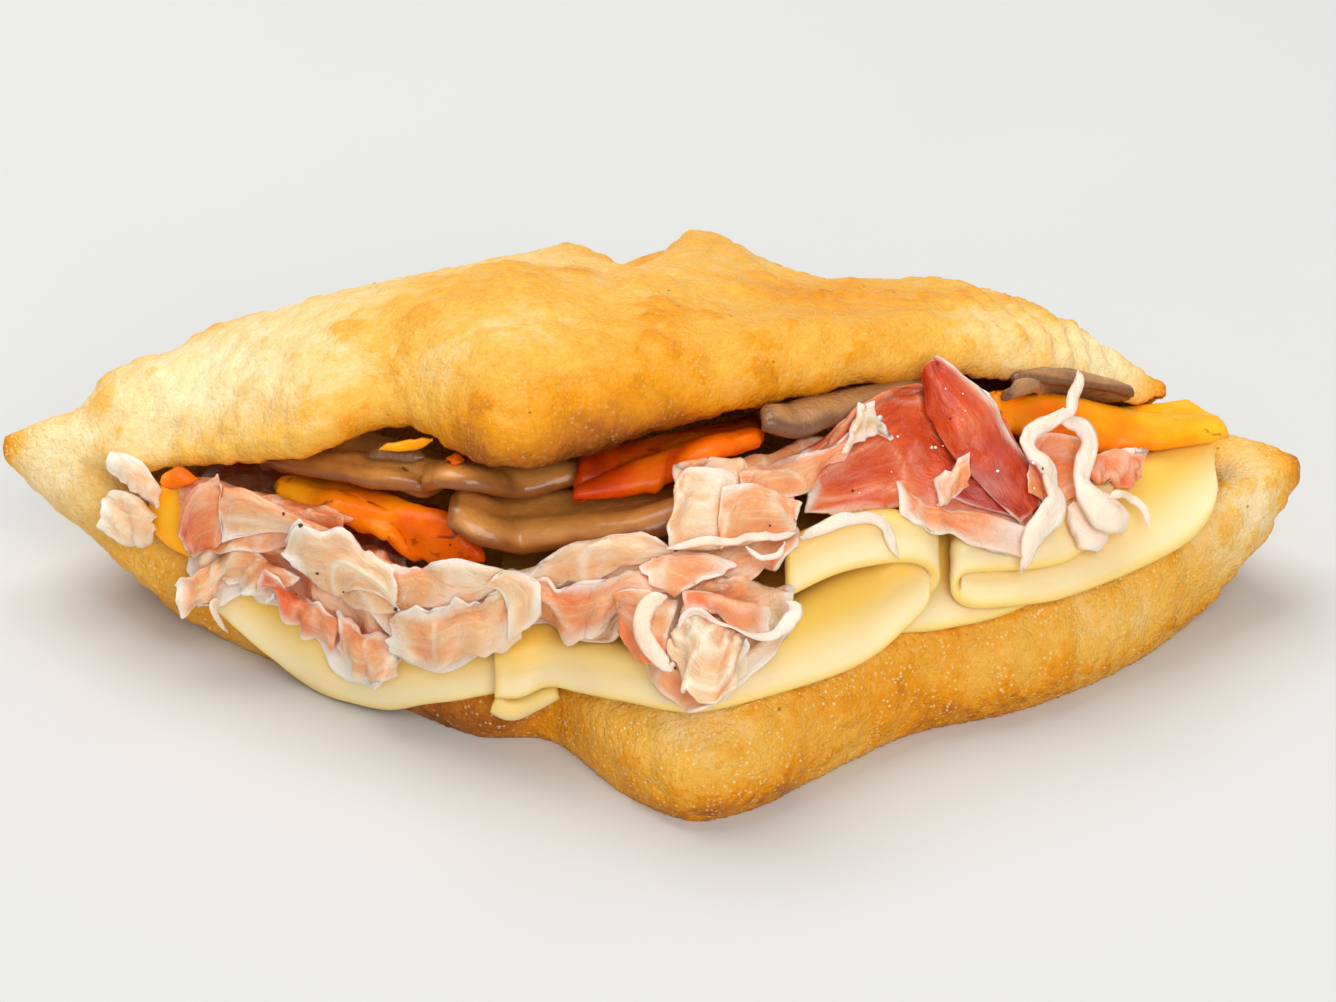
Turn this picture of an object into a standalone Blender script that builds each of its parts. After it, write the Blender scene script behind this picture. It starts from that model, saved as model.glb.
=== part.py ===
"""Crescentina: a diamond of fried dough, split like a pocket and filled.

The dough is one piece: a low tray and a domed flap that meet along the back.
Cheese, cured ham, roasted pepper and mushroom lie between them, each slice its own solid.
Lengths are in millimetres until a mesh is made. X runs from tip to tip, -Y is the open front.
"""

import math

import bmesh
import bpy
import numpy as np

MM = 0.001

# Driving sizes of the dough
TIP = 89.5  # half the length, tip to tip
FLAP_START = -80.0  # the flap grows out of the left tip here
FLAP_END = 71.0  # its torn right corner
DOUGH_STEP = 4.6  # from one section of the dough to the next
FLAT = 0.5  # what comes lower than this lies on the ground

# Driving sizes of the slices
CHEESE = 1.7
HAM = 0.9
FAT = 2.0  # the thick white strands of the ham
PEPPER = 2.8
MUSHROOM = 3.6
GAP = 0.3  # clear space kept between one slice and the next

# Rails of the tray, as (x, y, z): every section is a closed curve through all of them
TOE = (
    (-89.5, -0.5, 21), (-82, -3, 14), (-74, -7, 8), (-64, -13, 3), (-55, -18, 0), (-35, -31, 0),
    (-22, -39.5, 0), (-13, -40.5, 0), (-5, -51, 0), (5, -58.5, 0), (13, -56, 0), (22, -48.5, 0),
    (33, -39.5, 0), (50, -32.5, 0), (66, -20.5, 0), (75, -11, 1.5), (82, -5, 7), (89.5, -0.5, 17.5),
)  # fmt: skip
WALL = (
    (-89.5, -1, 22), (-82, -5.5, 17), (-74, -11, 13), (-64, -17, 9), (-55, -21, 6),
    (-35, -32.5, 5), (-22, -40.5, 5), (-13, -41.5, 6), (-5, -51.5, 7), (5, -59.5, 7.5),
    (13, -57.5, 7.5), (22, -50, 7.5), (33, -41.5, 7.5), (50, -34, 7.5), (66, -22.5, 8),
    (75, -13.5, 9), (82, -8, 13), (89.5, -1, 18.5),
)  # fmt: skip
RIM = (
    (-89.5, -0.5, 23), (-82, -3.5, 23), (-74, -9, 19), (-64, -15, 14), (-55, -18.5, 11),
    (-35, -30.5, 9.5), (-22, -37.5, 10), (-13, -39, 12), (-5, -47, 14), (5, -54, 15),
    (13, -53, 15), (22, -46, 14), (33, -39, 13.5), (50, -31, 13.5), (66, -20, 14.5),
    (75, -12, 17), (82, -7, 19), (89.5, -0.5, 20),
)  # fmt: skip
FLOOR = (
    (-89.5, 0, 23.3), (-82, 1, 26), (-74, 3, 25), (-64, 3, 15), (-50, 3, 10.5), (0, 0, 9.5),
    (50, 4, 10.5), (66, 2, 14), (75, 0, 18), (82, 0, 20), (89.5, 0, 20.3),
)  # fmt: skip
BACK_RIM = (
    (-89.5, 0.5, 23), (-82, 4, 24.5), (-70, 12.5, 23), (-50, 24.5, 22), (-30, 38, 21),
    (-10, 51, 21), (6, 56.5, 23), (20, 50, 20), (40, 36, 19), (60, 21.5, 19), (75, 11, 19.5),
    (82, 6, 20), (89.5, 0.5, 20),
)  # fmt: skip
BACK_WALL = (
    (-89.5, 1, 22), (-82, 6.5, 18), (-70, 15.5, 14), (-50, 27.5, 12), (-30, 41.5, 11),
    (-10, 54.5, 11), (6, 60, 13), (20, 54, 11), (40, 39.5, 10), (60, 25, 10), (75, 14, 11),
    (82, 8.5, 12), (89.5, 1, 18.5),
)  # fmt: skip
HEEL = (
    (-89.5, 0.5, 21), (-82, 3, 14), (-74, 7, 8), (-64, 11, 3), (-55, 16, 0), (-30, 34, 0),
    (-10, 47, 0), (6, 52, 0), (20, 46, 0), (40, 32, 0), (60, 18, 0), (75, 8, 1.5), (82, 4, 7),
    (89.5, 0.5, 17.5),
)  # fmt: skip
TRAY = ((HEEL, 5), (TOE, 2), (WALL, 3), (RIM, 4), (FLOOR, 4), (BACK_RIM, 2), (BACK_WALL, 3))

# Rails of the flap's outside
LIP = (
    (-80, -3, 22), (-74, -8, 22.5), (-64, -12.5, 25), (-56, -17, 28.6), (-44, -23, 34),
    (-34, -20, 38.6), (-26, -29, 38.2), (-18, -35.5, 38.9), (-8, -32.5, 39.4), (6, -25, 39.9),
    (20, -17.5, 40), (35, -11, 38), (50, -4.5, 35), (62, 0.5, 31.5), (71, 4.5, 27.2),
)  # fmt: skip
LIP_THICK = (
    (-80, 1.5), (-64, 4), (-44, 5), (-34, 5), (-26, 7), (-18, 8), (-8, 7), (20, 5.5), (50, 4),
    (62, 2.5), (71, 0.8),
)  # fmt: skip
CREST = (
    (-80, 0, 25), (-74, 0, 29.5), (-64, -2, 34), (-50, -3, 41), (-34, -8, 46.5),
    (-18, -15, 50.5), (-5, -12, 49), (6, -8, 47), (20, -3, 44.5), (35, 2, 42), (50, 6, 39.5),
    (62, 7, 34.5), (71, 5.5, 28),
)  # fmt: skip
SHOULDER = (
    (-80, 1.5, 25.5), (-74, 4, 30.5), (-64, 6, 34), (-50, 9, 39), (-34, 12, 42),
    (-18, 15, 43), (-5, 18, 40), (6, 22, 40), (20, 18, 38), (35, 14, 39.5), (50, 14, 37),
    (62, 10.5, 32.5), (71, 6, 27.8),
)  # fmt: skip
EDGE = (
    (-80, 3, 25), (-74, 6, 30.2), (-66, 9, 32.3), (-60, 12, 34), (-49, 17, 35), (-43, 20, 35.4),
    (-28, 27, 34), (-18, 35, 32.8), (-13, 40, 31.8), (-7, 42, 29), (-2.5, 42, 26.8), (2, 47, 27.3),
    (6, 51, 28), (10, 49, 27.5), (15, 45, 27.2), (24, 35, 28.5), (30, 30, 31),
    (41, 25, 34.2), (49, 22, 33.3), (58, 17, 32), (64, 12, 28.6), (71, 6, 27.3),
)  # fmt: skip
FOOT = (
    (-80, 4, 20), (-74, 9, 20), (-60, 18, 19), (-49, 24.5, 18.5), (-28, 38, 18), (-18, 45, 18),
    (-8, 51, 18), (6, 55.5, 19), (15, 51.5, 17), (24, 46, 17), (41, 34, 16.5), (58, 22, 17),
    (66, 14, 19), (71, 6, 26.8),
)  # fmt: skip
ROOF_DEPTH = ((-80, 2), (-64, 4.5), (-30, 6), (0, 6), (40, 5), (60, 3.5), (71, 0.6))

# The top of the sloping front, which is the flap's lip without its notch
FRONT_TOP = (
    (-80, -3, 22), (-64, -12, 25), (-44, -22, 33), (-18, -33, 38), (6, -24, 39),
    (35, -10.5, 37.5), (50, -4, 34.5), (71, 4.5, 27), (85, 3, 25),
)  # fmt: skip


def curve(x, pairs):
    """A smooth value through (place, value) pairs: cubic from each to the next."""
    places, values = np.array(pairs, float).T
    slopes = np.gradient(values, places)
    x = np.clip(x, places[0], places[-1])
    i = np.clip(np.searchsorted(places, x, "right") - 1, 0, len(places) - 2)
    width = places[i + 1] - places[i]
    t = (x - places[i]) / width
    return (
        values[i] * (2 * t**3 - 3 * t**2 + 1)
        + slopes[i] * width * (t**3 - 2 * t**2 + t)
        + values[i + 1] * (3 * t**2 - 2 * t**3)
        + slopes[i + 1] * width * (t**3 - t**2)
    )


def path(points, count):
    """A smooth path through a few points, sampled at equal steps of its length."""
    points = np.array(points, float)
    place = np.arange(len(points))
    fine = np.linspace(0, len(points) - 1, 30 * len(points))
    dense = np.stack([curve(fine, np.stack([place, axis], 1)) for axis in points.T], axis=1)
    steps = np.linalg.norm(np.diff(dense, axis=0), axis=1)
    run = np.concatenate([[0], np.cumsum(steps)])
    wanted = np.linspace(0, run[-1], count)
    return np.stack([np.interp(wanted, run, axis) for axis in dense.T], axis=1)


def on_rail(rail, x):
    """Where a rail crosses the section at x, as (y, z)."""
    rail = np.array(rail, float)
    return np.array([curve(x, rail[:, [0, 1]]), curve(x, rail[:, [0, 2]])])


def on_front(x, up, out):
    """A point of the sloping front: up is 0 at the tray's rim and 1 at the flap's edge, out is in mm."""
    rim = on_rail(RIM, x)
    rise = on_rail(FRONT_TOP, x) - rim
    outward_of_slope = np.array([-rise[1], rise[0]]) / np.hypot(*rise)
    return np.array([x, *(rim + rise * up + outward_of_slope * out)])


def closed_section(x, keys):
    """A ring at x: a closed smooth curve through (point, steps to the next point) pairs."""
    points = np.array([point for point, _ in keys])
    wrapped = np.concatenate([points[-2:], points, points[:3]])
    spacing = np.maximum(np.linalg.norm(np.diff(wrapped, axis=0), axis=1), 1e-3)
    run = np.concatenate([[0], np.cumsum(spacing)])
    places = []
    for k, (_, steps) in enumerate(keys):
        places.extend(np.linspace(run[k + 2], run[k + 3], steps, endpoint=False))
    ring = [curve(np.array(places), np.stack([run, axis], 1)) for axis in wrapped.T]
    return np.stack([np.full(len(places), x), *ring], axis=1)


def tray_section(x):
    return closed_section(x, [(on_rail(rail, x), steps) for rail, steps in TRAY])


def flap_section(x):
    lip, crest, shoulder, edge, foot = (
        on_rail(rail, x) for rail in (LIP, CREST, SHOULDER, EDGE, FOOT)
    )
    thick = curve(x, LIP_THICK)
    depth = curve(x, ROOF_DEPTH)
    front = lip + thick * np.array([-0.35, 0.5])
    brow = lip + thick * np.array([0.5, 1.25])
    heel = foot + depth * np.array([-0.9, -0.2])
    beam = edge + depth * np.array([-1.1, -0.6])
    roof = crest + depth * np.array([0.2, -1.0])
    inner_lip = lip + thick * np.array([0.6, 0.25])
    keys = ((lip, 2), (front, 2), (brow, 3), (crest, 4), (shoulder, 3), (edge, 2), (foot, 2),
            (heel, 2), (beam, 3), (roof, 3), (inner_lip, 1))  # fmt: skip
    return closed_section(x, keys)


def lumps(across, along, seed, length, height):
    """Low, soft unevenness: five crossing waves with seeded directions."""
    draw = np.random.default_rng(seed)
    total = np.zeros(np.shape(across))
    for _ in range(5):
        angle, phase = draw.uniform(0, 2 * math.pi, 2)
        wave = 2 * math.pi / (length * draw.uniform(0.7, 1.4))
        total += np.sin(wave * (across * math.cos(angle) + along * math.sin(angle)) + phase)
    return height * total / 3


def tube_faces(rings, around):
    """Triangles of a row of rings, closed at each end by a fan to the ring's middle."""
    corner = np.arange(rings * around).reshape(rings, around)
    nearby = np.roll(corner, -1, axis=1)
    a, b = corner[:-1].ravel(), nearby[:-1].ravel()
    c, d = nearby[1:].ravel(), corner[1:].ravel()
    first, last = rings * around, rings * around + 1
    ends = [
        np.stack([np.full(around, first), nearby[0], corner[0]], 1),
        np.stack([np.full(around, last), corner[-1], nearby[-1]], 1),
    ]
    return np.concatenate([np.stack([a, b, c], 1), np.stack([a, c, d], 1), *ends])


def grid_faces(rows, columns, triangles):
    """The faces of a sheet whose points run row by row, as triangles or as quads."""
    corner = np.arange(rows * columns).reshape(rows, columns)
    a, b = corner[:-1, :-1].ravel(), corner[:-1, 1:].ravel()
    c, d = corner[1:, 1:].ravel(), corner[1:, :-1].ravel()
    if triangles:
        return np.concatenate([np.stack([a, b, c], 1), np.stack([a, c, d], 1)])
    return np.stack([a, b, c, d], 1)


def normals_of(sheet):
    """Unit normals of a grid of points."""
    along = np.gradient(sheet, axis=1)
    across = np.gradient(sheet, axis=0)
    normal = np.cross(along, across)
    return normal / np.maximum(np.linalg.norm(normal, axis=2), 1e-9)[..., None]


def soft(grid):
    """Each value becomes the mean of those round it, where that is more."""
    rows, columns = grid.shape
    wide = np.pad(grid, 1, mode="edge")
    near = [wide[i : i + rows, j : j + columns] for i in range(3) for j in range(3)]
    return np.maximum(grid, np.mean(near, axis=0))


class Pile:
    """The height reached so far, cell by cell, looking down on the open front at 45 degrees.

    In that view a point has x, s (up and to the back) and h (up and to the front).
    """

    CELL = 0.5
    LOW = (-100, -80)
    CELLS = (400, 360)
    LIFT = np.array([0, -math.sqrt(0.5), math.sqrt(0.5)])

    def __init__(self):
        self.height = np.full(self.CELLS, -999.0)

    def cells(self, points):
        x, y, z = points.T
        i = ((x - self.LOW[0]) / self.CELL).astype(int)
        j = (((y + z) * math.sqrt(0.5) - self.LOW[1]) / self.CELL).astype(int)
        return np.clip(i, 0, self.CELLS[0] - 1), np.clip(j, 0, self.CELLS[1] - 1)

    @staticmethod
    def weights(parts=14):
        """The shares of a triangle's corners in points spread evenly over it."""
        places = range(parts + 1)
        return np.array([(i, j, parts - i - j) for i in places for j in places[: parts + 1 - i]]) / parts

    def spread(self, points, faces):
        """Points spread evenly over each triangle."""
        return np.einsum("wk,fkd->fwd", self.weights(), points[faces])

    def add(self, points, faces):
        """Whatever lies here now counts as part of the pile."""
        dense = self.spread(points, faces).reshape(-1, 3)
        np.maximum.at(self.height, self.cells(dense), dense @ self.LIFT)

    def rolled(self, grid, radius):
        """The height of the middle of a ball of this radius that rolls over the grid."""
        reach = math.ceil(radius / self.CELL)
        out = grid + radius
        for i in range(-reach, reach + 1):
            for j in range(-reach, reach + 1):
                away = self.CELL * max(0.0, math.hypot(i, j) - 0.7)
                if away < radius:
                    ball = math.sqrt(radius**2 - away**2)
                    out = np.maximum(out, np.roll(grid, (i, j), (0, 1)) + ball)
        return out

    def rest(self, sheet, half_thickness):
        """A grid of points raised softly, where it has to be, until it lies clear of the pile."""
        rows, columns, _ = sheet.shape
        faces = grid_faces(rows, columns, True)
        clear = self.rolled(self.height, half_thickness + GAP)
        dense = self.spread(sheet.reshape(-1, 3), faces)
        cells = self.cells(dense.reshape(-1, 3))
        need = clear[cells].reshape(dense.shape[:2]) - dense @ self.LIFT
        share = self.weights() / np.sum(self.weights() ** 2, axis=1)[:, None]
        raised = np.zeros(rows * columns)
        np.maximum.at(raised, faces, np.max(need[:, :, None] * share, axis=1))
        return sheet + soft(raised.reshape(rows, columns))[..., None] * self.LIFT


def body(name, collection, points, faces):
    """An object in a collection from points in millimetres."""
    mesh = bpy.data.meshes.new(name)
    mesh.from_pydata((points * MM).tolist(), [], faces.tolist())
    mesh.shade_smooth()
    thing = bpy.data.objects.new(name, mesh)
    collection.objects.link(thing)
    return thing


def tube(name, collection, rings):
    """A closed skin over a row of rings."""
    rings = np.array(rings)
    points = np.concatenate([rings.reshape(-1, 3), rings[[0, -1]].mean(axis=1)])
    thing = body(name, collection, points, tube_faces(*rings.shape[:2]))
    skin = bmesh.new()
    skin.from_mesh(thing.data)
    bmesh.ops.recalc_face_normals(skin, faces=skin.faces)
    skin.to_mesh(thing.data)
    skin.free()
    return thing


def material(name, colour, roughness):
    """A plain finish: colour, roughness, no metal."""
    finish = bpy.data.materials.new(name)
    finish.use_nodes = True
    shader = finish.node_tree.nodes["Principled BSDF"]
    shader.inputs["Base Color"].default_value = (*colour, 1.0)
    shader.inputs["Roughness"].default_value = roughness
    shader.inputs["Metallic"].default_value = 0.0
    return finish


class Filling:
    """Slices laid one after another on the tray, each lifted clear of those below it."""

    def __init__(self, collection, tray):
        self.collection = collection
        self.pile = Pile()
        self.settle(tray)

    def settle(self, thing):
        """Takes the finished form of an object, modifiers and all, into the pile."""
        view = bpy.context.evaluated_depsgraph_get()
        view.update()
        mesh = thing.evaluated_get(view).to_mesh()
        mesh.calc_loop_triangles()
        points = np.array([point.co for point in mesh.vertices]) / MM
        faces = np.array([tuple(face.vertices) for face in mesh.loop_triangles])
        thing.evaluated_get(view).to_mesh_clear()
        self.pile.add(points, faces)

    def lay(self, name, sheet, thick, finish, soft=False):
        """A slice round a grid of points. A soft one has a rounded rim."""
        sheet = self.pile.rest(sheet, thick / 2)
        rows, columns, _ = sheet.shape
        faces = grid_faces(rows, columns, not soft)
        thing = body(name, self.collection, sheet.reshape(-1, 3), faces)
        thing.data.materials.append(finish)
        shell = thing.modifiers.new("thickness", "SOLIDIFY")
        shell.thickness = thick * MM
        shell.offset = 0.0
        if soft:
            round_rim = thing.modifiers.new("round rim", "SUBSURF")
            round_rim.levels = 1
            round_rim.render_levels = 1
        self.settle(thing)

    def drape(self, name, columns, thick, finish, size, inside, ruffles=(0, 0), seed=0, soft=False):
        """A slice that shows on the front and runs back into the pocket.

        columns: (x, up of its lower edge, up where it goes inside, out) along the slice.
        size: how many points along and across. inside: how far back, and the height there.
        ruffles: how many waves along the lower edge, and their height.
        """
        reach, level = inside
        low = [on_front(x, lower, out) for x, lower, _, out in columns]
        middle = [on_front(x, (lower + upper) / 2, out) for x, lower, upper, out in columns]
        high = [on_front(x, upper, out - 0.5) for x, _, upper, out in columns]
        least = min(out for *_, out in columns)
        back = [
            (x * 0.96, point[1] + reach, level + out - least)
            for (x, _, _, out), point in zip(columns, high)
        ]
        bend = [
            np.array([x, point[1] + reach * 0.3, point[2] * 0.65 + level * 0.35])
            for (x, *_), point in zip(columns, high)
        ]
        rails = [path(rail, size[0]) for rail in (low, middle, high, bend, back)]
        sheet = np.array([path(across, size[1]) for across in np.stack(rails, axis=1)])
        sheet = np.swapaxes(sheet, 0, 1)
        along = np.linspace(0, 1, size[0])[None, :]
        across = np.linspace(0, 1, size[1])[:, None]
        waves, height = ruffles
        wave = height * np.sin(2 * math.pi * (waves * along + 0.15 * np.sin(9 * along + seed)) + seed)
        fade = (1 - across) ** 1.5
        uneven = lumps(40 * along + 0 * across, 15 * across + 0 * along, seed, 12, 0.25 * height)
        sheet = sheet + normals_of(sheet) * (wave * fade + uneven)[..., None]
        self.lay(name, sheet, thick, finish, soft)

    def strand(self, name, route, width, thick, finish, count=14, soft=True):
        """A thick strip along a route of (x, up, out) points, lying in the slope of the front."""
        middle = path([on_front(*point) for point in route], count)
        run = np.gradient(middle, axis=0)
        side = np.cross(run, Pile.LIFT)
        side /= np.linalg.norm(side, axis=1)[:, None]
        taper = np.sin(np.linspace(0.25, math.pi - 0.25, count)) ** 0.5
        half = side * (width / 2 * taper)[:, None]
        sheet = np.stack([middle - half, middle + half])
        self.lay(name, sheet, thick, finish, soft)


def dough(collection, finish):
    """The fried dough: the tray and the flap, as two skins."""
    stations = np.linspace(-TIP, TIP, 1 + round(2 * TIP / DOUGH_STEP))
    rings = np.array([tray_section(x) for x in stations])
    rings[..., 2][rings[..., 2] < FLAT] = 0.0
    tray = tube("crust", collection, rings)
    stations = np.linspace(FLAP_START, FLAP_END, 1 + round((FLAP_END - FLAP_START) / DOUGH_STEP))
    flap = tube("flap", collection, [flap_section(x) for x in stations])
    tray.data.materials.append(finish)
    return tray, flap


def grow_together(tray, flap):
    """One piece of dough from the two skins."""
    join = tray.modifiers.new("grown together", "BOOLEAN")
    join.operation = "UNION"
    join.solver = "EXACT"
    join.object = flap
    with bpy.context.temp_override(object=tray, active_object=tray):
        bpy.ops.object.modifier_apply(modifier=join.name)
    bpy.data.objects.remove(flap)


def cheeses(filling):
    """Three slices on the tray's floor, drooping over its rim."""
    finish = material("cheese", (0.91, 0.74, 0.38), 0.4)
    filling.drape(
        "cheese_left",
        ((-59, -0.30, 0.05, 2), (-47, -0.43, 0.10, 2.5), (-33, -0.30, 0.08, 2.5),
         (-21, -0.13, 0.08, 1.6), (-13.5, -0.05, 0.08, 0.5)),
        CHEESE, finish, (12, 6), (36, 12), (1.5, 0.3), 3,
    )  # fmt: skip
    filling.drape(
        "cheese_right",
        ((78, 0.10, 0.50, 2), (72, -0.08, 0.40, 2.5), (62, -0.01, 0.30, 2.5), (52, 0.01, 0.25, 2.5),
         (41, 0.05, 0.25, 2.5), (35.5, 0.16, 0.30, 4.0), (39, 0.24, 0.34, 6.0),
         (48, 0.16, 0.36, 5.8), (60, 0.08, 0.36, 5.5)),
        CHEESE, finish, (22, 6), (22, 12), (0, 0.3), 5,
    )  # fmt: skip
    filling.drape(
        "cheese_middle",
        ((-19, -0.15, 0.12, 3.5), (-16, -0.24, 0.12, 4.5), (-11, -0.15, 0.12, 3), (-4, -0.08, 0.12, 2.5),
         (5, -0.05, 0.12, 2.5), (15, -0.02, 0.12, 2.5), (26, -0.02, 0.15, 2.5), (33.5, 0.06, 0.25, 3),
         (37, 0.20, 0.38, 5), (32, 0.27, 0.46, 7.5), (24, 0.28, 0.46, 7.5), (16, 0.22, 0.42, 6.5)),
        CHEESE, finish, (26, 6), (38, 13), (0, 0.2), 7,
    )  # fmt: skip


def low_ham(filling, finish):
    """The slices that lie on the cheese and run through the pocket."""
    filling.drape(
        "ham_left_ruffles",
        ((-63, -0.50, 0.40, 3), (-57, -0.10, 0.50, 4), (-50, 0.10, 0.55, 4.5),
         (-45, -0.02, 0.55, 5), (-38, -0.17, 0.50, 5), (-32, 0.05, 0.45, 4.5)),
        HAM, finish, (19, 6), (26, 17), (4, 1.1), 11,
    )  # fmt: skip
    filling.drape(
        "ham_lean_lower",
        ((32, 0.46, 0.58, 4), (38, 0.38, 0.55, 5.5), (45, 0.22, 0.48, 6), (51, 0.24, 0.44, 5)),
        HAM, finish, (14, 6), (28, 20), (2, 0.6), 13,
    )  # fmt: skip


def roast(filling):
    """Roasted pepper strips and mushroom slices."""
    pepper = material("roasted pepper", (0.80, 0.22, 0.01), 0.3)
    mushroom = material("mushroom", (0.38, 0.24, 0.13), 0.35)
    filling.drape(
        "pepper_under",
        ((-41, 0.52, 0.62, -3), (-34, 0.50, 0.62, -3), (-26, 0.54, 0.64, -3)),
        PEPPER * 0.7, pepper, (5, 3), (6, 24), (0, 0), 17, True,
    )  # fmt: skip
    filling.drape(
        "pepper_end",
        ((-66, 0.20, 0.70, 3), (-63, 0.15, 0.90, 3.5), (-60, 0.20, 0.80, 3.5)),
        PEPPER * 0.7, pepper, (4, 3), (4, 19), (0, 0), 19, True,
    )  # fmt: skip
    filling.drape(
        "pepper_strip_left",
        ((-49, 0.72, 0.80, -0.5), (-42, 0.64, 0.74, -0.5), (-34, 0.56, 0.70, 0), (-28, 0.54, 0.66, 0),
         (-22, 0.56, 0.62, 0)),
        PEPPER, pepper, (9, 3), (5, 25), (0, 0), 23, True,
    )  # fmt: skip
    filling.drape(
        "mushroom_middle",
        ((-26, 0.70, 0.74, -1), (-21, 0.64, 0.70, -0.5), (-12, 0.62, 0.69, 0), (-2, 0.65, 0.71, 0),
         (6, 0.70, 0.76, 0)),
        MUSHROOM, mushroom, (8, 4), (9, 28), (0, 0), 29, True,
    )  # fmt: skip
    filling.drape(
        "mushroom_left",
        ((-52, 0.85, 0.87, -5), (-45, 0.84, 0.86, -6), (-36, 0.82, 0.85, -6), (-26, 0.82, 0.84, -6),
         (-17, 0.82, 0.85, -6), (-11, 0.83, 0.85, -6)),
        MUSHROOM * 0.8, mushroom, (9, 4), (13, 31), (0, 0), 31, True,
    )  # fmt: skip
    return pepper, mushroom


def front_ham(filling, finish, white):
    """The thin slices that hang over the front, left and middle."""
    filling.strand("ham_end_lower", ((-75, 0.0, 4), (-72, 0.1, 5), (-68.5, 0.25, 5), (-65, 0.4, 4)),
                   5.5, FAT, white, 7)  # fmt: skip
    filling.strand("ham_end_upper", ((-74, 1.1, 3.5), (-71, 1.1, 4.5), (-68.5, 0.8, 5), (-66, 0.6, 5)),
                   3.5, FAT, white, 7)  # fmt: skip
    filling.drape(
        "ham_roll",
        ((-63, 0.38, 0.82, 4), (-58, 0.34, 0.86, 5), (-52, 0.44, 0.86, 5.5), (-46, 0.56, 0.80, 5.5),
         (-40, 0.64, 0.72, 5)),
        HAM, finish, (14, 6), (2, 25), (1, 0.5), 37,
    )  # fmt: skip
    filling.drape(
        "ham_front_middle",
        ((-19, 0.25, 0.54, 5), (-13, 0.25, 0.56, 5.5), (-8, 0.17, 0.57, 5.5), (-2, 0.22, 0.56, 5.5),
         (4, 0.32, 0.54, 5), (11, 0.34, 0.52, 5), (18, 0.40, 0.50, 5)),
        HAM, finish, (20, 5), (4, 27), (3.5, 0.9), 41,
    )  # fmt: skip
    filling.drape(
        "ham_front_left",
        ((-48, 0.45, 0.62, 6), (-41, 0.28, 0.60, 6.5), (-34, 0.12, 0.53, 6.5), (-28, 0.06, 0.53, 6.5),
         (-21, 0.16, 0.54, 6.5), (-17, 0.38, 0.54, 7)),
        HAM, finish, (18, 6), (3, 28), (2.5, 0.8), 43,
    )  # fmt: skip
    filling.drape(
        "ham_tail",
        ((-3, 0.16, 0.34, 6), (2, 0.00, 0.36, 6), (6, -0.07, 0.36, 6), (11, 0.02, 0.34, 6),
         (18, 0.13, 0.28, 6)),
        HAM, finish, (17, 5), (1.5, 24), (3.5, 1.0), 47,
    )  # fmt: skip


def upper_roast(filling, pepper, mushroom):
    """The pepper and the mushroom that stick out under the flap."""
    filling.drape(
        "pepper_strip_middle",
        ((-10, 0.78, 0.80, 1.5), (-4, 0.76, 0.85, 0), (5, 0.80, 0.90, -0.5), (14, 0.86, 0.93, -1)),
        PEPPER, pepper, (8, 3), (9, 33), (0, 0), 53, True,
    )  # fmt: skip
    filling.drape(
        "mushroom_grilled",
        ((15, 0.88, 0.90, -0.5), (20, 0.87, 0.90, 0.5), (28, 0.88, 0.92, 1), (36, 0.92, 0.94, 1)),
        MUSHROOM * 0.75, mushroom, (7, 3), (9, 34), (0, 0), 59, True,
    )  # fmt: skip
    filling.drape(
        "pepper_strip_right",
        ((45, 0.78, 0.90, 1.5), (55, 0.70, 0.88, 2), (66, 0.62, 0.80, 2), (77, 0.58, 0.74, 3)),
        PEPPER, pepper, (9, 3), (5, 25), (0, 0), 61, True,
    )  # fmt: skip
    filling.drape(
        "mushroom_right",
        ((47, 0.90, 0.92, 2), (53, 0.89, 0.91, 2.5), (59, 0.86, 0.88, 2.5), (64, 0.83, 0.85, 2)),
        MUSHROOM * 0.6, mushroom, (7, 3), (3, 28), (0, 0), 67, True,
    )  # fmt: skip


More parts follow.
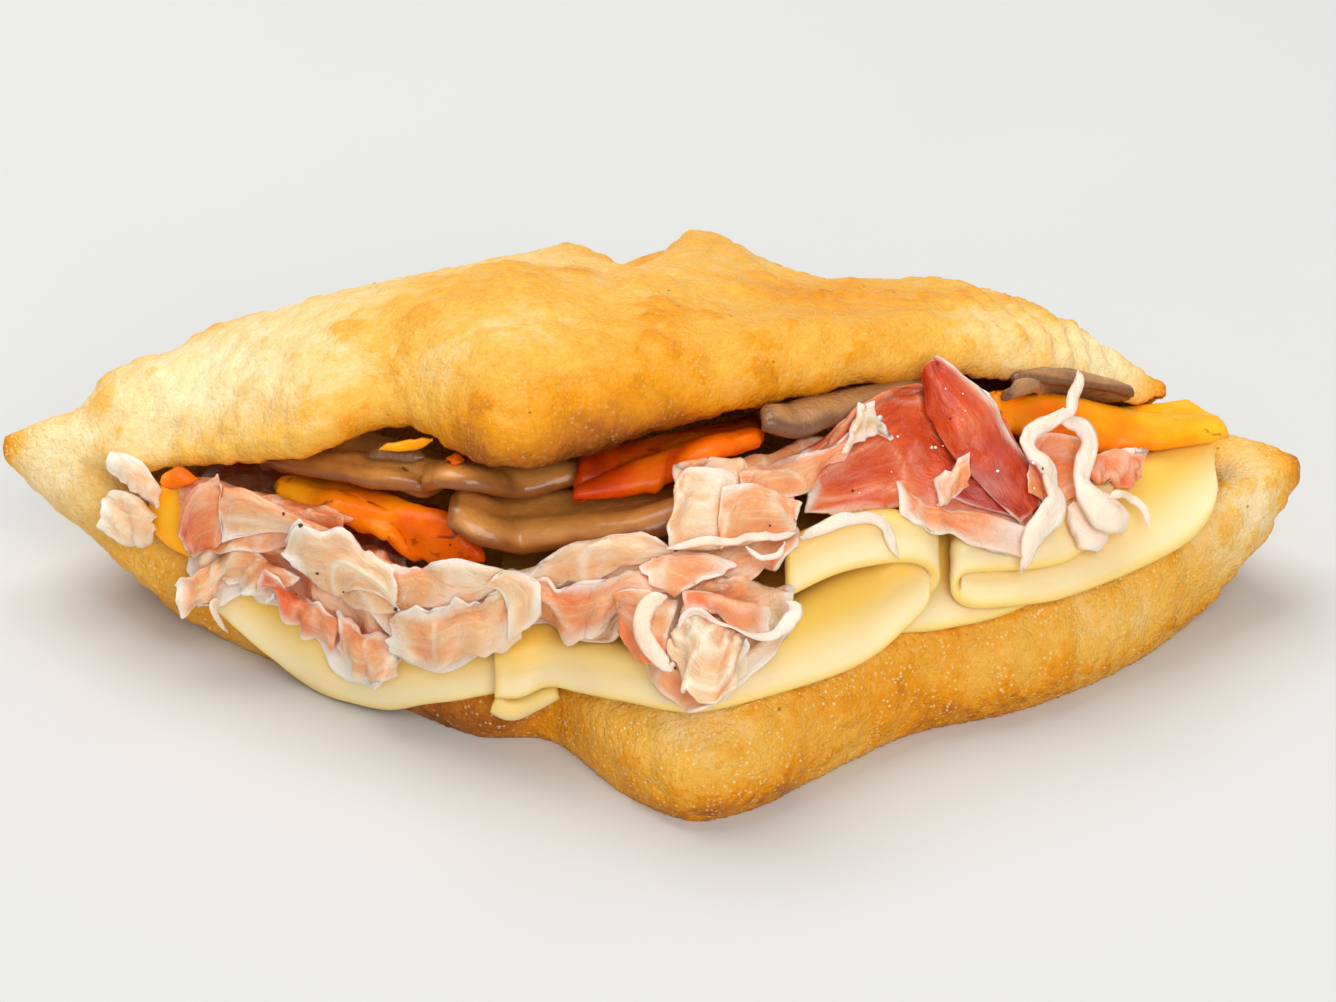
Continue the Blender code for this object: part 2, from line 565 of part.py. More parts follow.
def right_ham(filling, finish, white):
    """The lean slices, the raised flap and the fatty strands on the right."""
    filling.strand("ham_lobe_low", ((54, 0.42, 4), (56, 0.28, 5), (57, 0.12, 4)), 5, FAT, white, 7)
    filling.drape(
        "ham_back",
        ((6, 0.70, 0.84, 3), (14, 0.68, 0.86, 4), (22, 0.64, 0.86, 4), (31, 0.74, 0.84, 3)),
        HAM, finish, (12, 5), (5, 34), (1.5, 0.5), 71,
    )  # fmt: skip
    filling.drape(
        "ham_lean",
        ((20, 0.55, 0.72, 4), (27, 0.51, 0.85, 4.5), (34, 0.47, 0.93, 4.5), (41, 0.38, 0.85, 4.5),
         (49, 0.28, 0.60, 5)),
        HAM, finish, (14, 6), (4, 33), (1.5, 0.6), 73,
    )  # fmt: skip
    filling.drape(
        "ham_flap",
        ((3, 0.50, 0.82, 6), (10, 0.48, 0.77, 6.5), (18, 0.46, 0.60, 6)),
        HAM, finish, (12, 6), (2, 34), (1.5, 0.8), 79,
    )  # fmt: skip
    filling.drape(
        "ham_lean_flap",
        ((37, 0.80, 1.00, 6), (42, 0.62, 0.95, 6.5), (47, 0.44, 0.75, 6.5), (51, 0.32, 0.48, 6)),
        HAM, finish, (12, 6), (2, 35), (1, 0.5), 83,
    )  # fmt: skip
    filling.strand("ham_rim", ((19, 0.43, 7), (25, 0.47, 8), (30, 0.40, 8), (32, 0.28, 8)),
                   2.4, HAM, white, 8)  # fmt: skip
    filling.strand("ham_bit", ((59, 0.50, 3), (62, 0.54, 4), (66, 0.50, 3)), 4.5, FAT, finish, 6)
    filling.strand("ham_lobe", ((56, 0.78, 4), (58.5, 0.66, 5), (58, 0.48, 5.5), (60, 0.3, 5.5), (63, 0.18, 5)),
                   5.5, FAT, white, 8)  # fmt: skip
    filling.strand(
        "ham_curl",
        ((57, 0.95, 7), (55, 0.76, 7), (50, 0.70, 7), (49, 0.58, 7), (52, 0.44, 7.5), (54, 0.3, 7.5),
         (50, 0.21, 7), (48, 0.12, 7)),
        2.6, FAT * 0.8, white, 13,
    )  # fmt: skip


def main():
    for thing in list(bpy.data.objects):
        bpy.data.objects.remove(thing, do_unlink=True)
    collection = bpy.data.collections.new("crescentina")
    bpy.context.scene.collection.children.link(collection)
    tray, flap = dough(collection, material("fried dough", (0.72, 0.43, 0.14), 0.6))
    filling = Filling(collection, tray)
    ham = material("cured ham", (0.78, 0.36, 0.27), 0.35)
    white = material("ham fat", (0.90, 0.78, 0.70), 0.35)
    cheeses(filling)
    low_ham(filling, ham)
    pepper, mushroom = roast(filling)
    front_ham(filling, ham, white)
    upper_roast(filling, pepper, mushroom)
    right_ham(filling, ham, white)
    grow_together(tray, flap)


main()
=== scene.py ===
"""The looks of a crescentina: fried dough split like a pocket, with cheese, cured ham, pepper and mushroom.

Every slice is a surface worked out on a grid and laid on those below it, in millimetres, then made a mesh in metres.
X runs from tip to tip, -Y is the open front, +Z is up.
"""

import math

import bpy
import numpy as np
from bpy.props import FloatProperty, FloatVectorProperty, PointerProperty
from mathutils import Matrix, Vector


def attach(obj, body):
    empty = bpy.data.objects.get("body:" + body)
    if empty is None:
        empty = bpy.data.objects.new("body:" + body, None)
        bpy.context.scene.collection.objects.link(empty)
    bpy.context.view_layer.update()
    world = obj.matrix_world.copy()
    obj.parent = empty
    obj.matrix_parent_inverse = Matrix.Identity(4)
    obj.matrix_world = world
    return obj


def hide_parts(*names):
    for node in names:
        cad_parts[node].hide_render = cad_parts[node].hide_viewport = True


bl_info = {
    "name": "Crescentina",
    "version": (1, 0, 0),
    "blender": (4, 5, 0),
    "location": "3D View > Sidebar > Crescentina",
    "description": "Lays the finished dough, cheese, ham, pepper and mushroom over the packed part",
    "category": "Add Mesh",
}

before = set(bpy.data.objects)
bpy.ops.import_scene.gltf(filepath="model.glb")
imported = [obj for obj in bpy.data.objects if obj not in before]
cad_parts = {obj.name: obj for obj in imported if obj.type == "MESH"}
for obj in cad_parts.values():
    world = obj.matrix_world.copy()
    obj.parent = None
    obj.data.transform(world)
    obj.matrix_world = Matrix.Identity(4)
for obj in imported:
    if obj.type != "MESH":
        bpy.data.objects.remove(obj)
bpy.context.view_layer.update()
MM = 0.001
VIEWED = (0.0021, 0.0, 0.0133)  # what the camera and the lamps look at, in metres

# Driving sizes of the dough, in mm
TIP = 89.5  # half the length, tip to tip
FLAP_START = -80.0  # the flap grows out of the left tip here
FLAP_END = 71.0  # its torn right corner
FLAT = 0.5  # what a ring has lower than this lies on the ground
GROUNDED = 0.35  # and so does what the finished skin has lower than this
TRAY_RINGS, FLAP_RINGS = 190, 160  # sections along each
FINER = 5  # times the steps that TRAY and flap_section give between two rails

# Rails of the tray, as (x, y, z): every section is a closed curve through all of them, in the steps of TRAY
TOE = (
    (-89.5, -0.5, 21), (-82, -3, 14), (-74, -7, 8), (-64, -13, 3), (-55, -18, 0), (-35, -31, 0),
    (-22, -39.5, 0), (-13, -40.5, 0), (-5, -51, 0), (5, -58.5, 0), (13, -56, 0), (22, -48.5, 0),
    (33, -39.5, 0), (50, -32.5, 0), (66, -20.5, 0), (75, -11, 1.5), (82, -5, 7), (89.5, -0.5, 17.5),
)  # fmt: skip
WALL = (
    (-89.5, -1, 22), (-82, -5.5, 17), (-74, -11, 13), (-64, -17, 9), (-55, -21, 6),
    (-35, -32.5, 5), (-22, -40.5, 5), (-13, -41.5, 6), (-5, -51.5, 7), (5, -59.5, 7.5),
    (13, -57.5, 7.5), (22, -50, 7.5), (33, -41.5, 7.5), (50, -34, 7.5), (66, -22.5, 8),
    (75, -13.5, 9), (82, -8, 13), (89.5, -1, 18.5),
)  # fmt: skip
RIM = (
    (-89.5, -0.5, 23), (-82, -3.5, 23), (-74, -9, 19), (-64, -15, 14), (-55, -18.5, 11),
    (-35, -30.5, 9.5), (-22, -37.5, 10), (-13, -39, 12), (-5, -47, 14), (5, -54, 15),
    (13, -53, 15), (22, -46, 14), (33, -39, 13.5), (50, -31, 13.5), (66, -20, 14.5),
    (75, -12, 17), (82, -7, 19), (89.5, -0.5, 20),
)  # fmt: skip
FLOOR = (
    (-89.5, 0, 23.3), (-82, 1, 26), (-74, 3, 25), (-64, 3, 15), (-50, 3, 10.5), (0, 0, 9.5),
    (50, 4, 10.5), (66, 2, 14), (75, 0, 18), (82, 0, 20), (89.5, 0, 20.3),
)  # fmt: skip
BACK_RIM = (
    (-89.5, 0.5, 23), (-82, 4, 24.5), (-70, 12.5, 23), (-50, 24.5, 22), (-30, 38, 21),
    (-10, 51, 21), (6, 56.5, 23), (20, 50, 20), (40, 36, 19), (60, 21.5, 19), (75, 11, 19.5),
    (82, 6, 20), (89.5, 0.5, 20),
)  # fmt: skip
BACK_WALL = (
    (-89.5, 1, 22), (-82, 6.5, 18), (-70, 15.5, 14), (-50, 27.5, 12), (-30, 41.5, 11),
    (-10, 54.5, 11), (6, 60, 13), (20, 54, 11), (40, 39.5, 10), (60, 25, 10), (75, 14, 11),
    (82, 8.5, 12), (89.5, 1, 18.5),
)  # fmt: skip
HEEL = (
    (-89.5, 0.5, 21), (-82, 3, 14), (-74, 7, 8), (-64, 11, 3), (-55, 16, 0), (-30, 34, 0),
    (-10, 47, 0), (6, 52, 0), (20, 46, 0), (40, 32, 0), (60, 18, 0), (75, 8, 1.5), (82, 4, 7),
    (89.5, 0.5, 17.5),
)  # fmt: skip
TRAY = ((HEEL, 5), (TOE, 2), (WALL, 3), (RIM, 4), (FLOOR, 4), (BACK_RIM, 2), (BACK_WALL, 3))

# Rails of the flap's outside
LIP = (
    (-80, -3, 22), (-74, -8, 22.5), (-64, -12.5, 25), (-56, -17, 28.6), (-44, -23, 34),
    (-34, -20.5, 36.4), (-26, -29, 37.8), (-18, -35.5, 38.9), (-8, -32.5, 39.4), (6, -25, 39.9),
    (20, -17.5, 40), (35, -11, 38), (50, -4.5, 35), (56, -2.3, 32.9), (62, 0.6, 29.4),
    (66, 2.3, 27), (71, 4.5, 27.3),
)  # fmt: skip
LIP_THICK = (
    (-80, 1.5), (-64, 4), (-44, 5), (-34, 5), (-26, 7), (-18, 8), (-8, 7), (20, 5.5), (50, 4),
    (62, 2.5), (71, 0.8),
)  # fmt: skip
CREST = (
    (-80, 0, 25), (-74, 0, 29.5), (-64, -2, 34), (-50, -3, 41), (-34, -8, 46.5),
    (-18, -15, 50.5), (-5, -12, 49), (6, -8, 47), (20, -3, 44.5), (35, 2, 42), (50, 6, 39.5),
    (62, 7, 34.5), (71, 5.5, 28),
)  # fmt: skip
SHOULDER = (
    (-80, 1.5, 25.5), (-74, 4, 30.5), (-64, 6, 34), (-50, 9, 39), (-34, 12, 42),
    (-18, 15, 43), (-5, 18, 40), (6, 22, 40), (20, 18, 38), (35, 14, 39.5), (50, 14, 37),
    (62, 10.5, 32.5), (71, 6, 27.8),
)  # fmt: skip
EDGE = (
    (-80, 3, 25), (-74, 6, 30.2), (-66, 9, 32.3), (-60, 12, 34), (-49, 17, 35), (-43, 20, 35.4),
    (-28, 27, 34), (-18, 35, 32.8), (-13, 40, 31.8), (-7, 42, 29), (-2.5, 42, 26.8), (2, 47, 27.3),
    (6, 51, 28), (10, 49, 27.5), (15, 45, 27.2), (24, 35, 28.5), (30, 30, 31),
    (41, 25, 34.2), (49, 22, 33.3), (58, 17, 32), (64, 12, 28.6), (71, 6, 27.3),
)  # fmt: skip
FOOT = (
    (-80, 4, 20), (-74, 9, 20), (-60, 18, 19), (-49, 24.5, 18.5), (-28, 38, 18), (-18, 45, 18),
    (-8, 51, 18), (6, 55.5, 19), (15, 51.5, 17), (24, 46, 17), (41, 34, 16.5), (58, 22, 17),
    (66, 14, 19), (71, 6, 26.8),
)  # fmt: skip
# Depth of the dough between the crest and the roof of the pocket, as (x, mm)
ROOF_DEPTH = ((-80, 2), (-64, 4.5), (-48, 8), (-35, 12), (-22, 8), (0, 6), (40, 5), (60, 3.5), (71, 0.6))

# The top of the sloping front, which is the flap's lip without its notch
FRONT_TOP = (
    (-80, -3, 22), (-64, -12, 25), (-44, -22, 33), (-18, -33, 38), (6, -24, 39),
    (35, -10.5, 37.5), (50, -4, 34.5), (71, 4.5, 27), (85, 3, 25),
)  # fmt: skip


def curve(x, pairs):
    """A smooth value through (place, value) pairs: cubic from each to the next."""
    places, values = np.array(pairs, float).T
    slopes = np.gradient(values, places)
    x = np.clip(x, places[0], places[-1])
    i = np.clip(np.searchsorted(places, x, "right") - 1, 0, len(places) - 2)
    width = places[i + 1] - places[i]
    t = (x - places[i]) / width
    return (
        values[i] * (2 * t**3 - 3 * t**2 + 1)
        + slopes[i] * width * (t**3 - 2 * t**2 + t)
        + values[i + 1] * (3 * t**2 - 2 * t**3)
        + slopes[i + 1] * width * (t**3 - t**2)
    )


def path(points, places):
    """A smooth path through a few points, read at shares (0 to 1) of its length."""
    points = np.array(points, float)
    stops = np.arange(len(points))
    fine = np.linspace(0, len(points) - 1, 24 * len(points))
    dense = np.stack([curve(fine, np.stack([stops, axis], 1)) for axis in points.T], axis=1)
    run = np.concatenate([[0], np.cumsum(np.linalg.norm(np.diff(dense, axis=0), axis=1))])
    wanted = np.asarray(places) * run[-1]
    return np.stack([np.interp(wanted, run, axis) for axis in dense.T], axis=1), run[-1]


def on_rail(rail, x):
    """Where a rail crosses the section at x, as (y, z)."""
    rail = np.array(rail, float)
    return np.array([curve(x, rail[:, [0, 1]]), curve(x, rail[:, [0, 2]])])


def on_front(x, up, out):
    """A point of the sloping front: up is 0 at the tray's rim and 1 at the flap's edge, out is in mm."""
    rim = on_rail(RIM, x)
    rise = on_rail(FRONT_TOP, x) - rim
    outward_of_slope = np.array([-rise[1], rise[0]]) / np.hypot(*rise)
    return np.array([x, *(rim + rise * up + outward_of_slope * out)])


def closed_section(x, keys):
    """A ring at x: a closed smooth curve through (point, steps to the next point) pairs."""
    points = np.array([point for point, _ in keys])
    wrapped = np.concatenate([points[-2:], points, points[:3]])
    spacing = np.maximum(np.linalg.norm(np.diff(wrapped, axis=0), axis=1), 1e-3)
    run = np.concatenate([[0], np.cumsum(spacing)])
    places = []
    for k, (_, steps) in enumerate(keys):
        places.extend(np.linspace(run[k + 2], run[k + 3], steps, endpoint=False))
    ring = [curve(np.array(places), np.stack([run, axis], 1)) for axis in wrapped.T]
    return np.stack([np.full(len(places), x), *ring], axis=1)


def tray_section(x):
    """A ring of the tray: its rails joined by a closed smooth curve."""
    return closed_section(x, [(on_rail(rail, x), steps * FINER) for rail, steps in TRAY])


def flap_section(x):
    """A ring of the flap: over its crest, round its back and in along the roof of the pocket.

    Points between the rails are set off from them by shares of the lip's thickness or of the roof's depth.
    """
    lip, crest, shoulder, edge, foot = (
        on_rail(rail, x) for rail in (LIP, CREST, SHOULDER, EDGE, FOOT)
    )
    thick = curve(x, LIP_THICK)
    depth = curve(x, ROOF_DEPTH)
    front = lip + thick * np.array([-0.35, 0.5])
    brow = lip + thick * np.array([0.5, 1.25])
    heel = foot + depth * np.array([-0.9, -0.2])
    beam = edge + depth * np.array([-1.1, -0.6])
    roof = crest + depth * np.array([0.2, -1.0])
    inner_lip = lip + thick * np.array([0.6, 0.25])
    keys = ((lip, 2), (front, 2), (brow, 3), (crest, 4), (shoulder, 3), (edge, 2), (foot, 2),
            (heel, 2), (beam, 3), (roof, 3), (inner_lip, 1))  # fmt: skip
    return closed_section(x, [(point, steps * FINER) for point, steps in keys])


def chance(corner, seed):
    """A number from 0 to 1 that belongs to each whole-number corner, by mixing its bits."""
    i, j, k = np.moveaxis(corner, -1, 0)
    mixed = (i * 374761393 + j * 668265263 + k * 1103515245 + seed * 97531) & 0xFFFFFFFF
    mixed = ((mixed ^ (mixed >> 13)) * 1274126177) & 0xFFFFFFFF
    return ((mixed ^ (mixed >> 16)) & 0xFFFFFF) / 0xFFFFFF


def noise(points, size, seed):
    """Soft unevenness from -1 to 1: random values on a lattice of this size, blended smoothly between corners."""
    place = points / size
    low = np.floor(place).astype(np.int64)
    share = place - low
    share = share * share * (3 - 2 * share)
    total = 0.0
    for corner in np.ndindex(2, 2, 2):
        weight = np.prod(np.where(corner, share, 1 - share), axis=-1)
        total = total + weight * chance(low + np.array(corner), seed)
    return 2 * total - 1


def spots(points, size, seed):
    """Distance, in sizes, to the nearest of the spots strewn one to each cell of a lattice."""
    place = points / size
    low = np.floor(place).astype(np.int64)
    nearest = np.full(points.shape[:-1], 9.0)
    for step in np.ndindex(3, 3, 3):
        corner = low + np.array(step) - 1
        spot = corner + np.stack([chance(corner, seed + 7 * k) for k in range(3)], axis=-1)
        nearest = np.minimum(nearest, np.linalg.norm(place - spot, axis=-1))
    return nearest


def step_up(value, low, high):
    """0 below low, 1 above high, and smooth between."""
    t = np.clip((value - low) / (high - low), 0, 1)
    return t * t * (3 - 2 * t)


def around(points, spot, reach):
    """1 at a spot and falling to 0 with distance, as a bell curve."""
    away = (points - np.array(spot)) / np.array(reach)
    return np.exp(-np.sum(away**2, axis=-1))


def grid_faces(rows, columns):
    """The quads of a grid whose points run row by row."""
    corner = np.arange(rows * columns).reshape(rows, columns)
    a, b = corner[:-1, :-1].ravel(), corner[:-1, 1:].ravel()
    c, d = corner[1:, 1:].ravel(), corner[1:, :-1].ravel()
    return np.stack([a, b, c, d], 1)


def tube_faces(rings, around_it):
    """The quads of a row of rings, and the triangles that close each end to its middle point."""
    corner = np.arange(rings * around_it).reshape(rings, around_it)
    nearby = np.roll(corner, -1, axis=1)
    quads = np.stack([corner[:-1].ravel(), nearby[:-1].ravel(), nearby[1:].ravel(), corner[1:].ravel()], 1)
    first, last = rings * around_it, rings * around_it + 1
    caps = np.concatenate([
        np.stack([np.full(around_it, first), nearby[0], corner[0]], 1),
        np.stack([np.full(around_it, last), corner[-1], nearby[-1]], 1),
    ])  # fmt: skip
    return quads.tolist() + caps.tolist()


def normals_of(sheet):
    """Unit normals of a grid of points, from its two directions."""
    normal = np.cross(np.gradient(sheet, axis=1), np.gradient(sheet, axis=0))
    return normal / np.maximum(np.linalg.norm(normal, axis=2), 1e-9)[..., None]


def raised(sheet, relief):
    """A grid of points moved along its normals by a relief in mm."""
    return sheet + normals_of(sheet) * relief[..., None]


def to_rims(grid):
    """Distances of each place of a slice to its low, high, left and right rim, in mm."""
    along, across = grid[..., 0], grid[..., 1]
    return across, across[-1, 0] - across, along, along[0, -1] - along


def rim_of(grid):
    """Distance of each place of a slice to its nearest rim, in mm."""
    return np.minimum.reduce(to_rims(grid))


def spaced(length, step, edge):
    """Shares of a length: even steps, with closer ones inside the rounded edge at both ends.

    There they follow edge * (1 - cos a), with a from 0 to 90 degrees.
    """
    near = edge * (1 - np.cos(np.linspace(0, math.pi / 2, 5)))[:-1]
    inner = np.linspace(edge, length - edge, max(3, math.ceil((length - 2 * edge) / step)))
    return np.concatenate([near, inner, (length - near)[::-1]]) / length


def gathered(grid, reach, gather):
    """Each value of a grid replaced by the greatest, or the mean, of those within reach."""
    rows, columns = grid.shape
    wide = np.pad(grid, reach, mode="edge")
    span = range(2 * reach + 1)
    grid = gather([wide[i : i + rows] for i in span], axis=0)
    return gather([grid[:, j : j + columns] for j in span], axis=0)


class Pile:
    """The height reached so far, cell by cell, looking down on the open front at 45 degrees.

    In that view a point has x, s (up and to the back) and h (up and to the front).
    """

    CELL = 0.4  # mm, the side of a cell
    LOW = (-100, -80)  # where the cells start, along x and s
    CELLS = (500, 450)
    LIFT = np.array([0, -math.sqrt(0.5), math.sqrt(0.5)])
    NEAR = 5.0  # mm above the pile within which a wet slice clings
    EMPTY = -999.0  # the height where nothing lies
    SPREAD = 2  # points of a sheet over which a lift is spread

    def __init__(self):
        self.height = np.full(self.CELLS, self.EMPTY)

    def cells(self, points):
        """The cells over which points lie, as two rows of numbers."""
        x, y, z = points.T
        i = ((x - self.LOW[0]) / self.CELL).astype(int)
        j = (((y + z) * math.sqrt(0.5) - self.LOW[1]) / self.CELL).astype(int)
        return np.clip(i, 0, self.CELLS[0] - 1), np.clip(j, 0, self.CELLS[1] - 1)

    def add(self, sheet, parts):
        """Whatever lies here now counts as part of the pile: a grid of points, made denser between them."""
        rows, columns, _ = sheet.shape
        across = np.linspace(0, rows - 1, (rows - 1) * parts + 1)
        along = np.linspace(0, columns - 1, (columns - 1) * parts + 1)
        i = np.minimum(across.astype(int), rows - 2)
        j = np.minimum(along.astype(int), columns - 2)
        u, v = (across - i)[:, None, None], (along - j)[None, :, None]
        low = sheet[i][:, j] * (1 - v) + sheet[i][:, j + 1] * v
        high = sheet[i + 1][:, j] * (1 - v) + sheet[i + 1][:, j + 1] * v
        dense = (low * (1 - u) + high * u).reshape(-1, 3)
        np.maximum.at(self.height, self.cells(dense), dense @ self.LIFT)

    def add_points(self, points):
        """Loose points count as part of the pile."""
        np.maximum.at(self.height, self.cells(points), points @ self.LIFT)

    def drop(self, points, sink):
        """Points moved to lie on the pile, sunk in by this much."""
        wanted = self.height[self.cells(points)] - sink
        return points + (wanted - points @ self.LIFT)[:, None] * self.LIFT

    def rest(self, sheet, half, gap, cling):
        """A grid of points raised softly, where it has to be, until it lies clear of the pile.

        Where it hangs just above the pile, it sinks by a share of that height, as wet slices do.
        """
        radius = half + gap
        reach = math.ceil(radius / self.CELL)
        clear = self.height + radius
        for i, j in np.ndindex(2 * reach + 1, 2 * reach + 1):
            away = self.CELL * math.hypot(i - reach, j - reach)
            if away < radius:
                moved = np.roll(self.height, (i - reach, j - reach), (0, 1))
                clear = np.maximum(clear, moved + math.sqrt(radius**2 - away**2))
        need = clear[self.cells(sheet.reshape(-1, 3))].reshape(sheet.shape[:2]) - sheet @ self.LIFT
        lift = gathered(gathered(np.maximum(need, 0), self.SPREAD, np.max), self.SPREAD, np.mean)
        above = lift - need
        above = np.where(above > self.NEAR, 0, above)
        sink = gathered(gathered(above, 1, np.min), self.SPREAD, np.mean) * cling
        return sheet + (lift - sink)[..., None] * self.LIFT


pile = Pile()


def attribute(mesh, name, values):
    """A named value on every point of a mesh, for its material to read."""
    kind = "FLOAT" if values.ndim == 1 else "FLOAT_VECTOR"
    layer = mesh.attributes.new(name, kind, "POINT")
    layer.data.foreach_set("value" if values.ndim == 1 else "vector", values.astype(np.float32).ravel())


def piece(name, points, faces, finish, slot, nodes=(), **values):
    """A finished piece from points in millimetres: its mesh, its values and the CAD nodes that it stands for."""
    mesh = bpy.data.meshes.new(name)
    mesh.from_pydata((points * MM).tolist(), [], faces if isinstance(faces, list) else faces.tolist())
    mesh.shade_smooth()
    for key, value in values.items():
        attribute(mesh, key, value)
    mesh.materials.append(finish)
    thing = bpy.data.objects.new(name, mesh)
    bpy.context.scene.collection.objects.link(thing)
    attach(thing, "root")
    if nodes:
        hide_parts(*nodes)
    return thing


def slab(sheet, half, sizes, edge):
    """Both faces of a slice round a sheet, meeting in a rounded rim.

    The half thickness is half * sqrt(1 - (1 - d / edge)^2) at a distance d under edge from the rim.
    Returns points, faces, and for each point (mm along, mm across, mm from the rim).
    """
    rows, columns, _ = sheet.shape
    grid = np.stack(np.meshgrid(*sizes), axis=-1)
    rim = rim_of(grid)
    bulge = np.sqrt(np.clip(1 - (1 - np.minimum(rim / edge, 1)) ** 2, 0, 1))
    offset = normals_of(sheet) * (half * bulge)[..., None]
    inside = np.zeros((rows, columns), bool)
    inside[1:-1, 1:-1] = True
    below = np.arange(rows * columns).reshape(rows, columns)
    above = below.copy()
    above[inside] = rows * columns + np.arange(inside.sum())
    points = np.concatenate([(sheet - offset).reshape(-1, 3), (sheet + offset)[inside]])
    place = np.concatenate([grid, rim[..., None]], axis=-1)
    places = np.concatenate([place.reshape(-1, 3), place[inside]])
    quads = grid_faces(rows, columns)
    faces = np.concatenate([quads[:, ::-1], above.ravel()[quads]])
    return points, faces, places, inside


def lay(name, sheet, sizes, half, edge, finish, slot, nodes, gap=0.15, cling=0.0, **values):
    """A slice laid on the pile, given both its faces, and counted as part of the pile."""
    most = float(np.max(half))
    sheet = pile.rest(sheet, most, gap, cling)
    points, faces, places, inside = slab(sheet, half, sizes, edge)
    pile.add(sheet + Pile.LIFT * most, 3)
    doubled = {key: np.concatenate([v.ravel(), v[inside]]) for key, v in values.items()}
    return piece(name, points, faces, finish, slot, nodes, place=places, **doubled)


# mm between the points of a sheet
CHEESE_STEP, HAM_STEP, FOLD_STEP, ROAST_STEP = 0.8, 0.5, 0.42, 0.6
# width of the rounded rim: of cheese and of what is roasted as a share of the thickness, of ham in mm
CHEESE_EDGE, ROAST_EDGE, HAM_EDGE = 0.35, 0.48, 0.3
APART = 31.0  # mm in the noise between one slice and the next
TUCK = 0.5  # mm that a slice pulls in where it goes inside
NARROWER = 0.96  # what is left of its x at its end inside
BEND_BACK, BEND_DOWN = 0.3, 0.35  # shares of its way back and of its drop at the bend


def drape(columns, inside, step, edge):
    """The sheet of a slice that shows on the front and runs back into the pocket.

    columns: (x, up of its lower edge, up where it goes inside, out) along the slice.
    inside: how far back it runs, and the height there.
    Each column is a smooth path over five points, the last two of them inside, where the slice bends and ends.
    Returns the grid of points and its sizes along and across in mm.
    """
    reach, level = inside
    low = [on_front(x, lower, out) for x, lower, _, out in columns]
    middle = [on_front(x, (lower + upper) / 2, out) for x, lower, upper, out in columns]
    high = [on_front(x, upper, out - TUCK) for x, _, upper, out in columns]
    least = min(out for *_, out in columns)
    back = [
        (x * NARROWER, point[1] + reach, level + out - least)
        for (x, _, _, out), point in zip(columns, high)
    ]
    bend = [
        np.array([x, point[1] + reach * BEND_BACK, point[2] * (1 - BEND_DOWN) + level * BEND_DOWN])
        for (x, *_), point in zip(columns, high)
    ]
    _, length = path(middle, [0])
    along = spaced(length, step, edge)
    rails = [path(rail, along)[0] for rail in (low, middle, high, bend, back)]
    crossing = np.stack(rails, axis=1)
    _, width = path(crossing[len(along) // 2], [0])
    across = spaced(width, step, edge)
    sheet = np.array([path(line, across)[0] for line in crossing])
    sheet = np.swapaxes(sheet, 0, 1)
    return sheet, (along * length, across * width)


def between(first, second, step, edge, bulge):
    """The sheet between two edges given as (x, up, out) points.

    It runs straight from edge to edge, raised in the middle by bulge * sin(pi * share).
    """
    first, second = ([on_front(*point) for point in rail] for rail in (first, second))
    length = (path(first, [0])[1] + path(second, [0])[1]) / 2
    along = spaced(length, step, edge)
    low, high = path(first, along)[0], path(second, along)[0]
    width = max(np.linalg.norm(high - low, axis=1).max(), 4 * edge)
    share = spaced(width, step, edge)
    t = share[:, None, None]
    sheet = low[None] * (1 - t) + high[None] * t + Pile.LIFT * bulge * np.sin(math.pi * t)
    return sheet, (along * length, share * width)


def torn(sheet, sizes, reach, often, seed):
    """A sheet whose four sides wander in its own plane by reach * noise * exp(-distance / 2 mm), torn in places."""
    grid = slice_grid(sizes, seed)
    ways = []
    for axis in (0, 1):
        way = np.gradient(sheet, axis=axis)
        ways.append(way / np.maximum(np.linalg.norm(way, axis=2), 1e-9)[..., None])
    moved = sheet
    sides = ((-1, 0, [1, 0, 1]), (1, 0, [1, 0, 1.3]), (-1, 1, [0, 1, 1.7]), (1, 1, [0, 1, 2.1]))
    for distance, (sign, axis, which) in zip(to_rims(grid), sides):
        line = grid * which
        where = step_up(noise(line, 3 * often, seed + 9), -0.1, 0.5)
        wander = noise(line, 1.6 * often, seed) + where * noise(line, often / 2.2, seed + 5)
        moved = moved + sign * ways[axis] * (reach * wander * np.exp(-distance / 2))[..., None]
    return moved


def slice_grid(sizes, seed):
    """A grid of places on a slice, (mm along, mm across, a number far from that of other slices)."""
    along, across = np.meshgrid(*sizes)
    return np.stack([along, across, np.full(along.shape, APART * seed)], axis=-1)


def linear(code):
    """A colour from its sRGB hex code, as linear light with full cover."""
    value = np.array([int(code[i : i + 2], 16) for i in (0, 2, 4)]) / 255
    value = np.where(value <= 0.04045, value / 12.92, ((value + 0.055) / 1.055) ** 2.4)
    return (*value.tolist(), 1.0)


def colour_of(name, words, code):
    """A colour that the user can change."""
    return FloatVectorProperty(
        name=name, description=words, default=linear(code)[:3], subtype="COLOR", size=3, min=0, max=1
    )


def length_of(name, words, value):
    """A length that the user can change, given in millimetres."""
    return FloatProperty(
        name=name, description=words, default=value * MM, min=0, unit="LENGTH", precision=5
    )


class DoughLook(bpy.types.PropertyGroup):
    """Sizes and colours of the fried dough."""

    cube: length_of("Skin detail", "Side of the cubes that the skin is rebuilt from", 0.8)
    lump: length_of("Lumps", "Height of the broad lumps", 0.55)
    blister: length_of("Blisters", "Height of the small blisters", 0.55)
    grain: length_of("Grain", "Height of the fine grain", 0.16)
    # Besides the frying, these stops carry painted light and shade: pale on the flap's top left and behind the notch,
    # amber in the notch's hollow, brown on the pocket's roof
    pale: colour_of("Pale crust", "Where the dough bulged least and stayed light", "FCE6B2")
    golden: colour_of("Golden crust", "Most of the skin", "F0B64C")
    amber: colour_of("Amber crust", "In the hollows, where the oil stood", "E8960F")
    brown: colour_of("Brown crust", "On rims and peaks", "B5661B")
    dark: colour_of("Dark crust", "The most fried spots", "6E3A0C")


